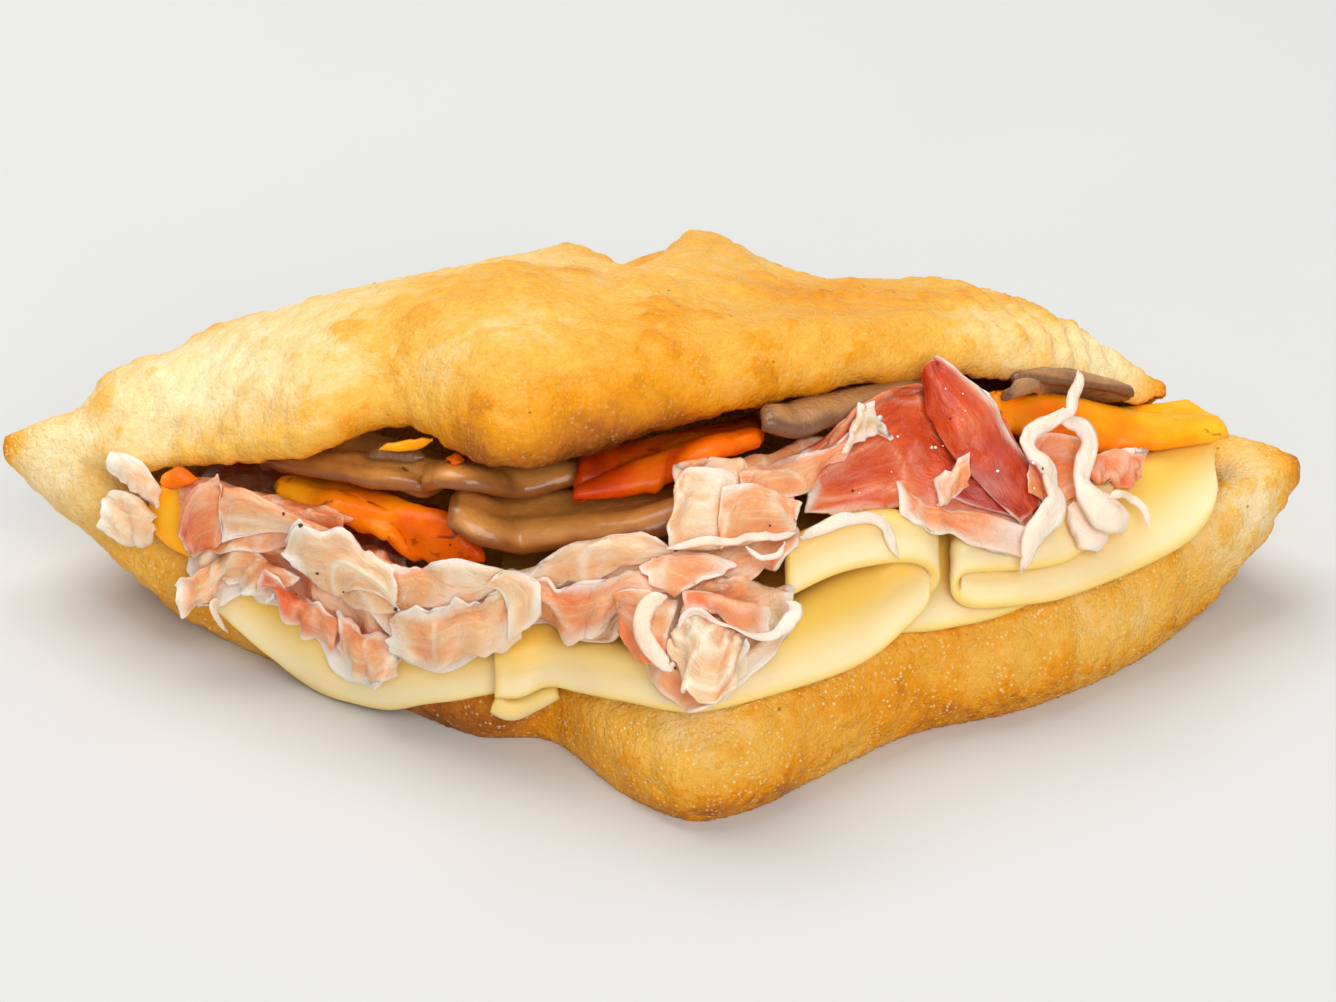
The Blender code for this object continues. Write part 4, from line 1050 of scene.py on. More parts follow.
def cheese_slice(name, node, columns, inside, ruffles, seed):
    """A slice of cheese: a smooth sheet with the slow waves of its weight."""
    thick = look().crescentina_slices.cheese / MM
    edge = thick * CHEESE_EDGE
    sheet, sizes = drape(columns, inside, CHEESE_STEP, edge)
    grid = slice_grid(sizes, seed)
    wave = ruffled(grid, sizes, ruffles, seed)
    sheet = raised(sheet, wave + 0.22 * noise(grid, 11, seed) + 0.05 * noise(grid, 3, seed))
    lay(name, sheet, sizes, thick / 2, edge, finish(pressed_curd), "cheese", (node,) if node else ())


ARC_START, ARC = math.radians(-130), math.radians(280)  # where a curled lip starts to turn, and how far


def curled_lip(name, route, radius):
    """The rim of a slice curled up into a roll.

    Round a route of (x, up, out) points its section is an arc, radius * (cos a, sin a) with a from ARC_START on,
    whose radius shrinks by a fifth along the arc and by half along the route.
    """
    thick = look().crescentina_slices.cheese / MM * 0.7
    edge = thick * CHEESE_EDGE
    route = [on_front(*point) for point in route]
    _, length = path(route, [0])
    share = spaced(length, 0.5, edge)
    middle, _ = path(route, share)
    side = np.cross(np.gradient(middle, axis=0), Pile.LIFT)
    side /= np.linalg.norm(side, axis=1)[:, None]
    turn = spaced(radius * ARC, 0.4, edge)
    angle = ARC_START + turn * ARC
    size = radius * (1 - 0.2 * turn)[:, None] * (1 - 0.5 * share)[None]
    sheet = (
        middle[None] + side[None] * (size * np.cos(angle)[:, None])[..., None]
        + Pile.LIFT * (size * np.sin(angle)[:, None])[..., None]
    )  # fmt: skip
    sizes = share * length, turn * radius * ARC
    points, faces, places, _ = slab(sheet, thick / 2, sizes, edge)
    pile.add(sheet + Pile.LIFT * thick / 2, 3)
    piece(name, points, faces, finish(pressed_curd), "cheese", place=places)


class CRESCENTINA_OT_cheese(bpy.types.Operator):
    """Lays the cheese: three slices that droop over the tray's rim, a layer between them and a curled lip"""

    bl_idname = "crescentina.cheese"
    bl_label = "Cheese"

    def execute(self, context):
        cheese_slice(
            "cheese_slice_left", "cheese_left",
            ((-59, -0.30, 0.05, 2), (-53, -0.42, 0.08, 2.3), (-47, -0.43, 0.10, 2.5), (-40, -0.37, 0.09, 2.5),
             (-33, -0.30, 0.08, 2.5), (-21, -0.13, 0.08, 1.6), (-13.5, -0.05, 0.08, 0.5)),
            (36, 12), (1.5, 0.3), 3,
        )  # fmt: skip
        cheese_slice(
            "cheese_slice_under", "",
            ((32, 0.06, 0.42, 0.4), (38, 0.03, 0.44, 0.4), (45, 0.03, 0.42, 0.4), (52, 0.06, 0.36, 0.4)),
            (10, 11), (0, 0.2), 9,
        )  # fmt: skip
        cheese_slice(
            "cheese_slice_right", "cheese_right",
            ((76.3, 0.14, 0.63, 2), (75, -0.05, 0.62, 2.2), (71, -0.09, 0.60, 2.4), (62, -0.01, 0.50, 2.5),
             (52, 0.01, 0.35, 2.5), (45, 0.05, 0.25, 2.3), (41, 0.08, 0.28, 2.6), (39.4, 0.13, 0.30, 3.6),
             (40.4, 0.19, 0.34, 4.8), (44, 0.18, 0.36, 5.2), (50, 0.145, 0.38, 5.2), (55, 0.135, 0.41, 4.9),
             (58.5, 0.20, 0.44, 4.6), (61.5, 0.34, 0.47, 4.2)),
            (22, 12), (0, 0.3), 5,
        )  # fmt: skip
        curled_lip("cheese_lip", ((-20.2, -0.12, 3), (-18.3, -0.17, 3.2), (-16, -0.165, 3), (-12.2, -0.11, 2.6)), 1.6)
        cheese_slice(
            "cheese_slice_middle", "cheese_middle",
            ((-20.2, -0.11, 0.13, 3.8), (-17, -0.125, 0.12, 4.3), (-12.5, -0.10, 0.12, 3.5), (-4, -0.08, 0.12, 2.5),
             (5, -0.05, 0.14, 2.5), (15, -0.02, 0.24, 2.0), (26, -0.02, 0.32, 2.0), (32.5, 0.05, 0.34, 2.3),
             (35.8, 0.12, 0.36, 3.0), (36.8, 0.20, 0.39, 4.6), (35.0, 0.25, 0.42, 6.0), (31, 0.28, 0.46, 6.6),
             (24, 0.29, 0.47, 6.6), (17, 0.26, 0.44, 5.8)),
            (38, 13), (0, 0.2), 7,
        )  # fmt: skip
        return {"FINISHED"}


def ham_sheet(name, nodes, sheet, sizes, seed, lean, crumple, rims, ragged, thick, wave, shows=1.0, size=6.0):
    """Shaved ham round a sheet.

    Along its normal it moves by a wave, by creases (1 - 2 |noise|) on warped places, wrinkles and pleats.
    Its rims are fat, as wide as rims says (low, high, left, right) times a noise, and a little thicker.
    """
    half = thick * look().crescentina_slices.ham / MM / 2
    sheet = torn(sheet, sizes, *ragged, seed)
    grid = slice_grid(sizes, seed)
    shift = np.stack([noise(grid, 9, seed + 1), noise(grid, 9, seed + 2), np.zeros(grid.shape[:2])], axis=-1)
    crease = 1 - 2 * np.abs(noise(grid + 3 * shift, size, seed + 3))
    wrinkle = noise(grid + 2 * shift, 2.6, seed + 4)
    pleat = noise(grid * [1, 0.35, 1] + 2 * shift, 2.4, seed + 7)
    fine = noise(grid + shift, 1.4, seed + 8)
    swell = 0.5 * noise(grid, 9, seed + 9) * shows
    folds = (crumple * (crease + 0.4 * wrinkle + 0.22 * fine) + 0.16 * pleat) * shows
    sheet = raised(sheet, wave + swell + folds)
    fat = np.zeros(grid.shape[:2])
    for distance, width in zip(to_rims(grid), rims):
        wide = np.maximum(width * (0.8 + 1.1 * noise(grid, 7, seed + 5)), 0)
        fat = np.maximum(fat, 1 - step_up(distance + 0.4 * wrinkle, -0.5, 2.2 * wide))
    fat = np.maximum(fat, 0.6 * (1 - lean) * step_up(crease, 0.7, 1.0))
    depth = lean + 0.2 * noise(grid + 3 * shift, 8, seed + 6) - 0.10 * crease
    lay(name, sheet, sizes, half * (1 + 0.4 * fat), HAM_EDGE, finish(cured_ham), "cured_ham", nodes,
        gap=0.03, cling=0.2 + 0.65 * np.exp(-rim_of(grid) / 2.5), fat=fat, lean=depth)  # fmt: skip


def ham_slice(name, node, columns, inside, ruffles, seed, lean, crumple, ragged, rims):
    """A slice of ham that shows on the front and runs back into the pocket, its lower edge ruffled."""
    sheet, sizes = drape(columns, inside, HAM_STEP, HAM_EDGE)
    grid = slice_grid(sizes, seed)
    wave = 1.15 * ruffled(grid, sizes, ruffles, seed)
    shows = 1 - 0.8 * step_up(grid[..., 1], 13, 22)
    ham_sheet(name, (node,), sheet, sizes, seed, lean, crumple, rims, ragged, 1.0, wave, shows)


def ham_fold(name, first, second, seed, lean, rims, bulge, crumple, ragged=(0.5, 2.5), thick=1.0, node="",
             ruffles=(0, 0), size=6.0):
    """A fold of ham between two edges, lying on the slices below it, with ruffles that fade from its first edge."""
    sheet, sizes = between(first, second, FOLD_STEP, HAM_EDGE, bulge)
    wave = ruffled(slice_grid(sizes, seed), sizes, ruffles, seed)
    ham_sheet(name, (node,) if node else (), sheet, sizes, seed, lean, crumple, rims, ragged, thick, wave,
              size=size)  # fmt: skip


def ribbon(name, nodes, route, widths, thick, material, slot, seed, uneven=0.15, **values):
    """A strip along a route of (x, up, out) points.

    It lies in the slope of the front. Its section is an ellipse, whose width is a smooth function of the
    place along it. Noise moves its middle line.
    """
    route = [on_front(*point) for point in route]
    _, length = path(route, [0])
    share = spaced(length, 0.5, min(widths) / 2)
    middle, _ = path(route, share)
    run = np.gradient(middle, axis=0)
    side = np.cross(run, Pile.LIFT)
    side /= np.maximum(np.linalg.norm(side, axis=1), 1e-9)[:, None]
    wide = curve(share, np.stack([np.linspace(0, 1, len(widths)), widths], 1)) / 2
    line = slice_grid((share * length, [0.0]), seed)[0]
    wide = wide * (1 + uneven * noise(line, 3, seed))
    # both ends narrow over their last 1.5 mm, as the sine of 60 degrees times the mm
    for from_end in (share * length, (1 - share) * length):
        wide = wide * np.sin(math.pi * np.clip(from_end, 0.35, 1.5) / 3)
    middle = middle + side * (uneven * 1.5 * noise(line, 4, seed + 1))[:, None]
    across = np.linspace(-1, 1, 9)
    sheet = middle[None] + side[None] * (across[:, None] * wide[None])[..., None]
    sizes = share * length, (across + 1) / 2 * max(widths)
    grid = slice_grid(sizes, seed)
    sheet = torn(sheet, sizes, uneven, 1.8, seed)
    sheet = raised(sheet, 1.6 * uneven * noise(grid, 1.8, seed + 2))
    half = np.tile(thick / 2 * np.clip(wide / wide.max(), 0.4, 1), (len(across), 1))
    change = 0.25 * noise(grid, 4, seed + 3)
    doubled = {key: np.clip(value + change, 0, 1) for key, value in values.items()}
    lay(name, sheet, sizes, half, max(widths) / 2, material, slot, nodes, gap=0.1, **doubled)


def fat_strand(name, node, route, widths, seed, thick=None, lean=0.15, fat=0.75):
    """A thick strand of the ham's fat."""
    thick = thick or look().crescentina_slices.fat / MM
    nodes = (node,) if node else ()
    ribbon(name, nodes, route, widths, thick, finish(cured_ham), "ham_fat", seed, 0.22, fat=fat, lean=lean)


class CRESCENTINA_OT_low_ham(bpy.types.Operator):
    """Lays the ruffled slice on the left and the dark lean slice on the right"""

    bl_idname = "crescentina.low_ham"
    bl_label = "Ham on the cheese"

    def execute(self, context):
        ham_slice(
            "ham_slice_ruffled", "ham_left_ruffles",
            ((-63, -0.50, 0.40, 3), (-57, -0.10, 0.50, 4), (-50, 0.10, 0.55, 4.5),
             (-45, -0.02, 0.55, 5), (-38, -0.17, 0.50, 5), (-32, 0.05, 0.45, 4.5)),
            (26, 17), (4, 1.1), 11, 0.45, 0.9, (1.0, 3), (2.0, 0, 2, 1),
        )  # fmt: skip
        ham_slice(
            "ham_slice_dark", "ham_lean_lower",
            ((32, 0.46, 0.58, 4), (38, 0.38, 0.55, 5.5), (45, 0.22, 0.48, 6), (51, 0.24, 0.44, 5)),
            (28, 20), (2, 0.6), 13, 1.0, 0.5, (0.5, 3), (0.5, 0, 0, 0),
        )  # fmt: skip
        ham_fold(
            "ham_fold_left_end",
            ((-63, -0.51, 7), (-60, -0.16, 7), (-57, 0.16, 7), (-53, 0.2, 7), (-50, 0.19, 7)),
            ((-64, -0.2, 7), (-59, 0.24, 7), (-54, 0.48, 7), (-50, 0.45, 7), (-46, 0.39, 7)),
            101, 0.4, (1.0, 0.6, 2.5, 0.5), 0.8, 0.6, (0.9, 2.5), ruffles=(4, 0.9), size=3.5,
        )  # fmt: skip
        ham_fold(
            "ham_fold_left_middle",
            ((-52, 0.2, 7), (-49, 0.11, 7), (-46, 0.02, 7), (-42, 0.01, 7)),
            ((-51, 0.33, 7), (-48, 0.3, 7), (-45, 0.24, 7), (-41, 0.17, 7)),
            102, 0.6, (0.8, 0.4, 0.3, 0.3), 1.0, 0.5, ruffles=(3, 0.9), size=3.5,
        )  # fmt: skip
        ham_fold(
            "ham_fold_left_low",
            ((-41, 0, 7.5), (-40, -0.09, 7.5), (-37, -0.12, 7.5), (-33, -0.01, 7.5)),
            ((-41, 0.23, 7.5), (-39, 0.21, 7.5), (-35, 0.2, 7.5), (-32, 0.25, 7.5)),
            103, 0.4, (1.2, 0.6, 0.8, 1.5), 1.0, 0.6, (0.9, 2.5), ruffles=(2.5, 0.8), size=3.5,
        )  # fmt: skip
        return {"FINISHED"}


def roast_slice(name, node, columns, inside, thick, seed, kind, slot, ripe=(0.5, 0.5), ragged=(0.35, 5)):
    """A slice of mushroom or a strip of pepper: a thick sheet with a rounded rim and an uneven face."""
    edge = thick * ROAST_EDGE
    sheet, sizes = drape(columns, inside, ROAST_STEP, edge)
    sheet = torn(sheet, sizes, *ragged, seed)
    grid = slice_grid(sizes, seed)
    sheet = raised(sheet, 0.28 * noise(grid, 6, seed) + 0.1 * noise(grid, 2.5, seed + 1))
    half = thick / 2 * (1 + 0.14 * noise(grid, 7, seed + 2))
    from_rim = rim_of(grid)
    skin = 1 - step_up(from_rim + 0.25 * noise(grid, 3, seed + 3), edge * 0.75, edge * 1.15)
    colour = np.interp(grid[..., 0] / sizes[0][-1], (0, 1), ripe) + 0.2 * noise(grid, 12, seed + 4)
    lay(name, sheet, sizes, half, edge, kind, slot, (node,), gap=0.1, skin=skin, ripe=colour)


def mushroom_finish(grilled=False):
    """The finish of a cooked mushroom, or of a grilled one, greyer and more wrinkled."""
    slices = look().crescentina_slices
    if grilled:
        return finish(cooked_mushroom, "grilled mushroom", linear("BA8652"), linear("825838"), 1.0)
    return finish(cooked_mushroom, "cooked mushroom", solid(slices.cut), solid(slices.skin), 0.3)


def mushroom_slice(name, node, columns, inside, part, seed, grilled=False):
    """A slice of mushroom, whose thickness is a part of the full one."""
    thick = part * look().crescentina_slices.mushroom / MM
    roast_slice(name, node, columns, inside, thick, seed, mushroom_finish(grilled), "mushroom")


def pepper_strip(name, node, columns, inside, part, seed, ripe):
    """A strip of roasted pepper, whose left and right ends are from 0, yellow, to 1, red."""
    thick = part * look().crescentina_slices.pepper / MM
    roast_slice(name, node, columns, inside, thick, seed, finish(roasted_pepper), "roasted_pepper", ripe, (0.7, 3.5))


class CRESCENTINA_OT_roast(bpy.types.Operator):
    """Lays the pepper strips and the mushroom slices of the left half"""

    bl_idname = "crescentina.roast"
    bl_label = "Pepper and mushroom, left"

    def execute(self, context):
        pepper_strip("pepper_scorched", "pepper_under",
                     ((-41, 0.52, 0.62, -3), (-34, 0.50, 0.62, -3), (-26, 0.54, 0.64, -3)),
                     (6, 24), 0.7, 17, (0.95, 0.95))  # fmt: skip
        pepper_strip("pepper_yellow_end", "pepper_end",
                     ((-67.5, 0.15, 0.50, 3), (-65, 0.08, 0.80, 3.5), (-61, 0.12, 0.85, 3.5)),
                     (4, 19), 0.7, 19, (0.25, 0.3))  # fmt: skip
        pepper_strip("pepper_orange", "pepper_strip_left",
                     ((-50, 0.70, 0.78, -0.5), (-42, 0.60, 0.70, -0.5), (-34, 0.52, 0.66, 0),
                      (-28, 0.49, 0.62, 0), (-22, 0.51, 0.58, 0)),
                     (5, 25), 1.0, 23, (0.22, 0.75))  # fmt: skip
        mushroom_slice("mushroom_slice_middle", "mushroom_middle",
                       ((-26, 0.63, 0.70, -1), (-21, 0.56, 0.65, -0.5), (-12, 0.54, 0.64, 0),
                        (-2, 0.57, 0.66, 0), (6, 0.63, 0.71, 0)),
                       (9, 28), 1.0, 29)  # fmt: skip
        mushroom_slice("mushroom_slice_left", "mushroom_left",
                       ((-52, 0.80, 0.86, -4.5), (-45, 0.74, 0.87, -4.5), (-36, 0.70, 0.89, -4.5),
                        (-27, 0.72, 0.88, -5), (-19, 0.74, 0.87, -5), (-12, 0.78, 0.87, -5), (-8, 0.84, 0.88, -5)),
                       (9, 29), 0.8, 31)  # fmt: skip
        return {"FINISHED"}


class CRESCENTINA_OT_front_ham(bpy.types.Operator):
    """Lays the thin slices of ham that hang over the front, left and middle"""

    bl_idname = "crescentina.front_ham"
    bl_label = "Ham over the front"

    def execute(self, context):
        ham_fold(
            "ham_fold_end_lower", ((-73.5, -0.8, 4.5), (-71, -0.45, 4.5), (-69, -0.1, 4.5), (-66.5, 0.2, 4.5)),
            ((-74.5, -0.1, 4.5), (-71.5, 0.42, 5), (-69, 0.55, 5), (-66, 0.5, 5)),
            51, 0.15, (0.8, 1.0, 2.0, 0.5), 1.2, 0.6, (0.8, 1.8), 1.4, "ham_end_lower", (1.5, 0.5), 3.0,
        )  # fmt: skip
        ham_fold(
            "ham_fold_end_upper", ((-72.5, 0.9, 5), (-71, 0.78, 5), (-69, 0.62, 5), (-66.5, 0.55, 5)),
            ((-72.5, 1.2, 5), (-70, 1.22, 5.5), (-67.5, 1.1, 5.5), (-65.5, 0.85, 5.5)),
            52, 0.2, (0.8, 1.0, 2.0, 0.5), 1.2, 0.4, (0.5, 1.8), 1.6, "ham_end_upper", size=3.0,
        )  # fmt: skip
        ham_slice(
            "ham_slice_rolled", "ham_roll",
            ((-63, 0.38, 0.82, 4), (-58, 0.34, 0.86, 5), (-52, 0.44, 0.84, 5), (-46, 0.56, 0.74, 5),
             (-40, 0.64, 0.72, 5)),
            (2, 25), (1, 0.5), 37, 0.45, 0.35, (0.3, 3), (0.6, 0, 0, 0),
        )  # fmt: skip
        ham_fold(
            "ham_fold_roll",
            ((-62, 0.19, 5), (-60, 0.26, 5), (-58, 0.35, 5), (-57, 0.41, 5)),
            ((-63, 0.48, 6.5), (-62, 0.83, 6.5), (-60, 1.03, 6.5), (-57, 1.1, 6.5)),
            104, 0.5, (0.3, 0.5, 0.3, 0.2), 2.0, 0.15, (0.2, 3), 1.0,
        )  # fmt: skip
        ham_fold(
            "ham_fold_roll_flap",
            ((-57, 0.51, 7.5), (-53, 0.62, 7.5), (-49, 0.68, 7.5), (-44, 0.69, 7.5), (-41, 0.68, 7.5)),
            ((-57, 1.07, 7.5), (-54, 1.02, 7.5), (-51, 0.92, 7.5), (-47, 0.8, 7.5), (-42, 0.71, 7.5)),
            105, 0.35, (0.9, 0.2, 1.0, 0.3), 0.8, 0.2, (0.25, 3),
        )  # fmt: skip
        ham_slice(
            "ham_slice_front_middle", "ham_front_middle",
            ((-19, 0.25, 0.48, 5), (-13, 0.25, 0.50, 5.5), (-8, 0.17, 0.50, 5.5), (-2, 0.22, 0.50, 5.5),
             (4, 0.32, 0.50, 5), (11, 0.34, 0.50, 5), (18, 0.40, 0.50, 5)),
            (3, 24), (3.5, 0.9), 41, 0.28, 0.7, (0.8, 3), (1.2, 0, 0, 1),
        )  # fmt: skip
        ham_slice(
            "ham_slice_front_left", "ham_front_left",
            ((-48, 0.42, 0.52, 5), (-41, 0.28, 0.46, 5.5), (-34, 0.12, 0.44, 5.5), (-28, 0.06, 0.46, 5.5),
             (-21, 0.16, 0.48, 5.5), (-17, 0.36, 0.50, 6)),
            (1.5, 22), (2.5, 0.8), 43, 0.3, 0.6, (1.0, 3), (1.4, 0, 1.5, 0),
        )  # fmt: skip
        ham_slice(
            "ham_slice_tail", "ham_tail",
            ((-3, 0.16, 0.34, 6), (2, 0.00, 0.36, 6), (6, -0.07, 0.36, 6), (11, 0.02, 0.34, 6),
             (18, 0.13, 0.28, 6)),
            (1.5, 24), (3.5, 1.0), 47, 0.3, 0.9, (0.8, 2.6), (1.5, 0, 1, 2),
        )  # fmt: skip
        ham_fold(
            "ham_fold_front_band",
            ((-42, 0.34, 7), (-39, 0.27, 7), (-35, 0.28, 7), (-28, 0.39, 7), (-22, 0.46, 7), (-17, 0.49, 7)),
            ((-40, 0.51, 7.5), (-33, 0.56, 7.5), (-26, 0.62, 7.5), (-22, 0.6, 7.5), (-19, 0.57, 7.5)),
            106, 0.3, (0.5, 1.3, 0.4, 0.5), 1.6, 0.4,
        )  # fmt: skip
        ham_fold(
            "ham_fold_front_tip",
            ((-46, 0.4, 7.5), (-44, 0.36, 7.5), (-41, 0.33, 7.5), (-38, 0.33, 7.5), (-35, 0.33, 7.5), (-33, 0.31, 7.5)),
            ((-48, 0.53, 7.5), (-46, 0.64, 7.5), (-43, 0.68, 7.5), (-40, 0.7, 7.5), (-37, 0.6, 7.5), (-33, 0.56, 7.5)),
            107, 0.12, (0.8, 1.6, 2.0, 0.5), 1.7, 0.5, (0.8, 2.2),
        )  # fmt: skip
        ham_fold(
            "ham_fold_front_lobe",
            ((-34, 0.1, 8), (-29, 0.07, 8), (-24, 0.16, 8), (-20, 0.21, 8), (-17, 0.26, 8)),
            ((-34, 0.29, 8), (-28, 0.4, 8), (-22, 0.47, 8), (-19, 0.5, 8), (-17, 0.52, 8)),
            108, 0.25, (0.9, 1.0, 1.5, 0.6), 1.6, 0.4, (0.8, 2.4), ruffles=(2.5, 0.4),
        )  # fmt: skip
        ham_fold(
            "ham_fold_middle_upper",
            ((-15, 0.44, 7.5), (-12, 0.45, 7.5), (-6, 0.44, 7.5), (-1, 0.45, 7.5), (3, 0.47, 7.5)),
            ((-17, 0.52, 7.5), (-14, 0.59, 7.5), (-10, 0.61, 7.5), (-6, 0.58, 7.5), (-1, 0.57, 7.5)),
            109, 0.25, (0.5, 1.4, 0.6, 0.5), 1.7, 0.5,
        )  # fmt: skip
        ham_fold(
            "ham_fold_middle_lower",
            ((-14, 0.33, 7.5), (-10, 0.18, 7.5), (-7, 0.21, 7.5), (-5, 0.27, 7.5), (-1, 0.31, 7.5)),
            ((-15, 0.45, 8), (-12, 0.47, 8), (-6, 0.42, 8), (-1, 0.41, 8), (3, 0.33, 8)),
            110, 0.4, (0.7, 0.8, 0.8, 0.5), 1.6, 0.5, (0.8, 2.5), ruffles=(3, 0.6),
        )  # fmt: skip
        ham_fold(
            "ham_fold_knot",
            ((-21, 0.52, 8.5), (-19, 0.48, 8.5), (-18, 0.38, 8.5), (-18, 0.24, 8.5)),
            ((-19, 0.59, 8.5), (-17, 0.57, 8.5), (-14, 0.47, 8.5), (-14, 0.34, 8.5)),
            111, 0.1, (1.6, 1.6, 1.0, 1.0), 0.8, 0.3,
        )  # fmt: skip
        ham_fold(
            "ham_fold_tail_left",
            ((-4, 0.23, 8.5), (-3, 0.13, 8.5), (0, 0.06, 8.5), (2, 0.06, 8.5)),
            ((-5, 0.32, 8.5), (-3, 0.34, 8.5), (0, 0.32, 8.5), (3, 0.3, 8.5)),
            112, 0.5, (0.8, 0.5, 0.8, 0.5), 1.0, 0.5, ruffles=(2, 0.6),
        )  # fmt: skip
        ham_fold(
            "ham_fold_tail_low",
            ((3, 0.14, 9), (4, 0.03, 9), (5, -0.06, 9), (8, -0.09, 9), (10, -0.04, 9), (11, 0.06, 9)),
            ((4, 0.24, 9), (6, 0.26, 9), (9, 0.22, 9), (12, 0.16, 9)),
            113, 0.12, (0.8, 0.3, 0.3, 0.5), 1.0, 0.9, (1.0, 1.5), ruffles=(3, 0.7), size=2.6,
        )  # fmt: skip
        ham_fold(
            "ham_fold_tail_right",
            ((4, 0.26, 9.5), (8, 0.23, 9.5), (11, 0.16, 9.5), (15, 0.13, 9.5)),
            ((4, 0.32, 9.5), (7, 0.3, 9.5), (11, 0.25, 9.5), (15, 0.21, 9.5)),
            114, 0.6, (0.6, 0.4, 0.3, 1.5), 1.0, 0.4,
        )  # fmt: skip
        ham_fold(
            "ham_fold_corner",
            ((-1, 0.43, 9), (0, 0.36, 9), (2, 0.32, 9), (3, 0.3, 9)),
            ((3, 0.47, 9), (6, 0.46, 9), (9, 0.43, 9), (11, 0.38, 9)),
            115, 0.3, (0.6, 1.2, 0.6, 0.6), 0.6, 0.25,
        )  # fmt: skip
        ham_slice(
            "ham_slice_back", "ham_back",
            ((6, 0.70, 0.80, 2), (14, 0.68, 0.82, 2.5), (22, 0.64, 0.82, 2.5), (31, 0.74, 0.84, 2)),
            (4, 31), (1.5, 0.5), 71, 0.45, 0.4, (0.5, 3), (0.6, 0, 0.5, 2),
        )  # fmt: skip
        return {"FINISHED"}


class CRESCENTINA_OT_upper_roast(bpy.types.Operator):
    """Lays the pepper and the mushroom that stick out under the flap"""

    bl_idname = "crescentina.upper_roast"
    bl_label = "Pepper and mushroom under the flap"

    def execute(self, context):
        pepper_strip("pepper_red", "pepper_strip_middle",
                     ((-10, 0.78, 0.80, 1.5), (-4, 0.76, 0.85, 0), (5, 0.80, 0.90, -0.5), (14, 0.86, 0.93, -1)),
                     (9, 33), 1.0, 53, (0.88, 0.7))  # fmt: skip
        mushroom_slice("mushroom_slice_grilled", "mushroom_grilled",
                       ((14, 0.88, 0.93, 0.5), (17, 0.84, 0.94, 1.5), (22, 0.83, 0.95, 2), (28, 0.86, 0.96, 2),
                        (33, 0.89, 0.97, 2), (37, 0.93, 0.97, 1.5)),
                       (9, 34), 0.85, 59, True)  # fmt: skip
        pepper_strip("pepper_golden", "pepper_strip_right",
                     ((45, 0.77, 0.90, 1.5), (55, 0.67, 0.88, 2), (66, 0.59, 0.81, 2), (77.5, 0.54, 0.72, 3)),
                     (5, 25), 1.0, 61, (0.42, 0.15))  # fmt: skip
        mushroom_slice("mushroom_slice_right", "mushroom_right",
                       ((48, 0.95, 0.965, 3), (53, 0.935, 0.99, 3.5), (59, 0.925, 0.99, 3.5), (65.5, 0.90, 0.94, 3)),
                       (3, 28), 0.55, 67, True)  # fmt: skip
        return {"FINISHED"}


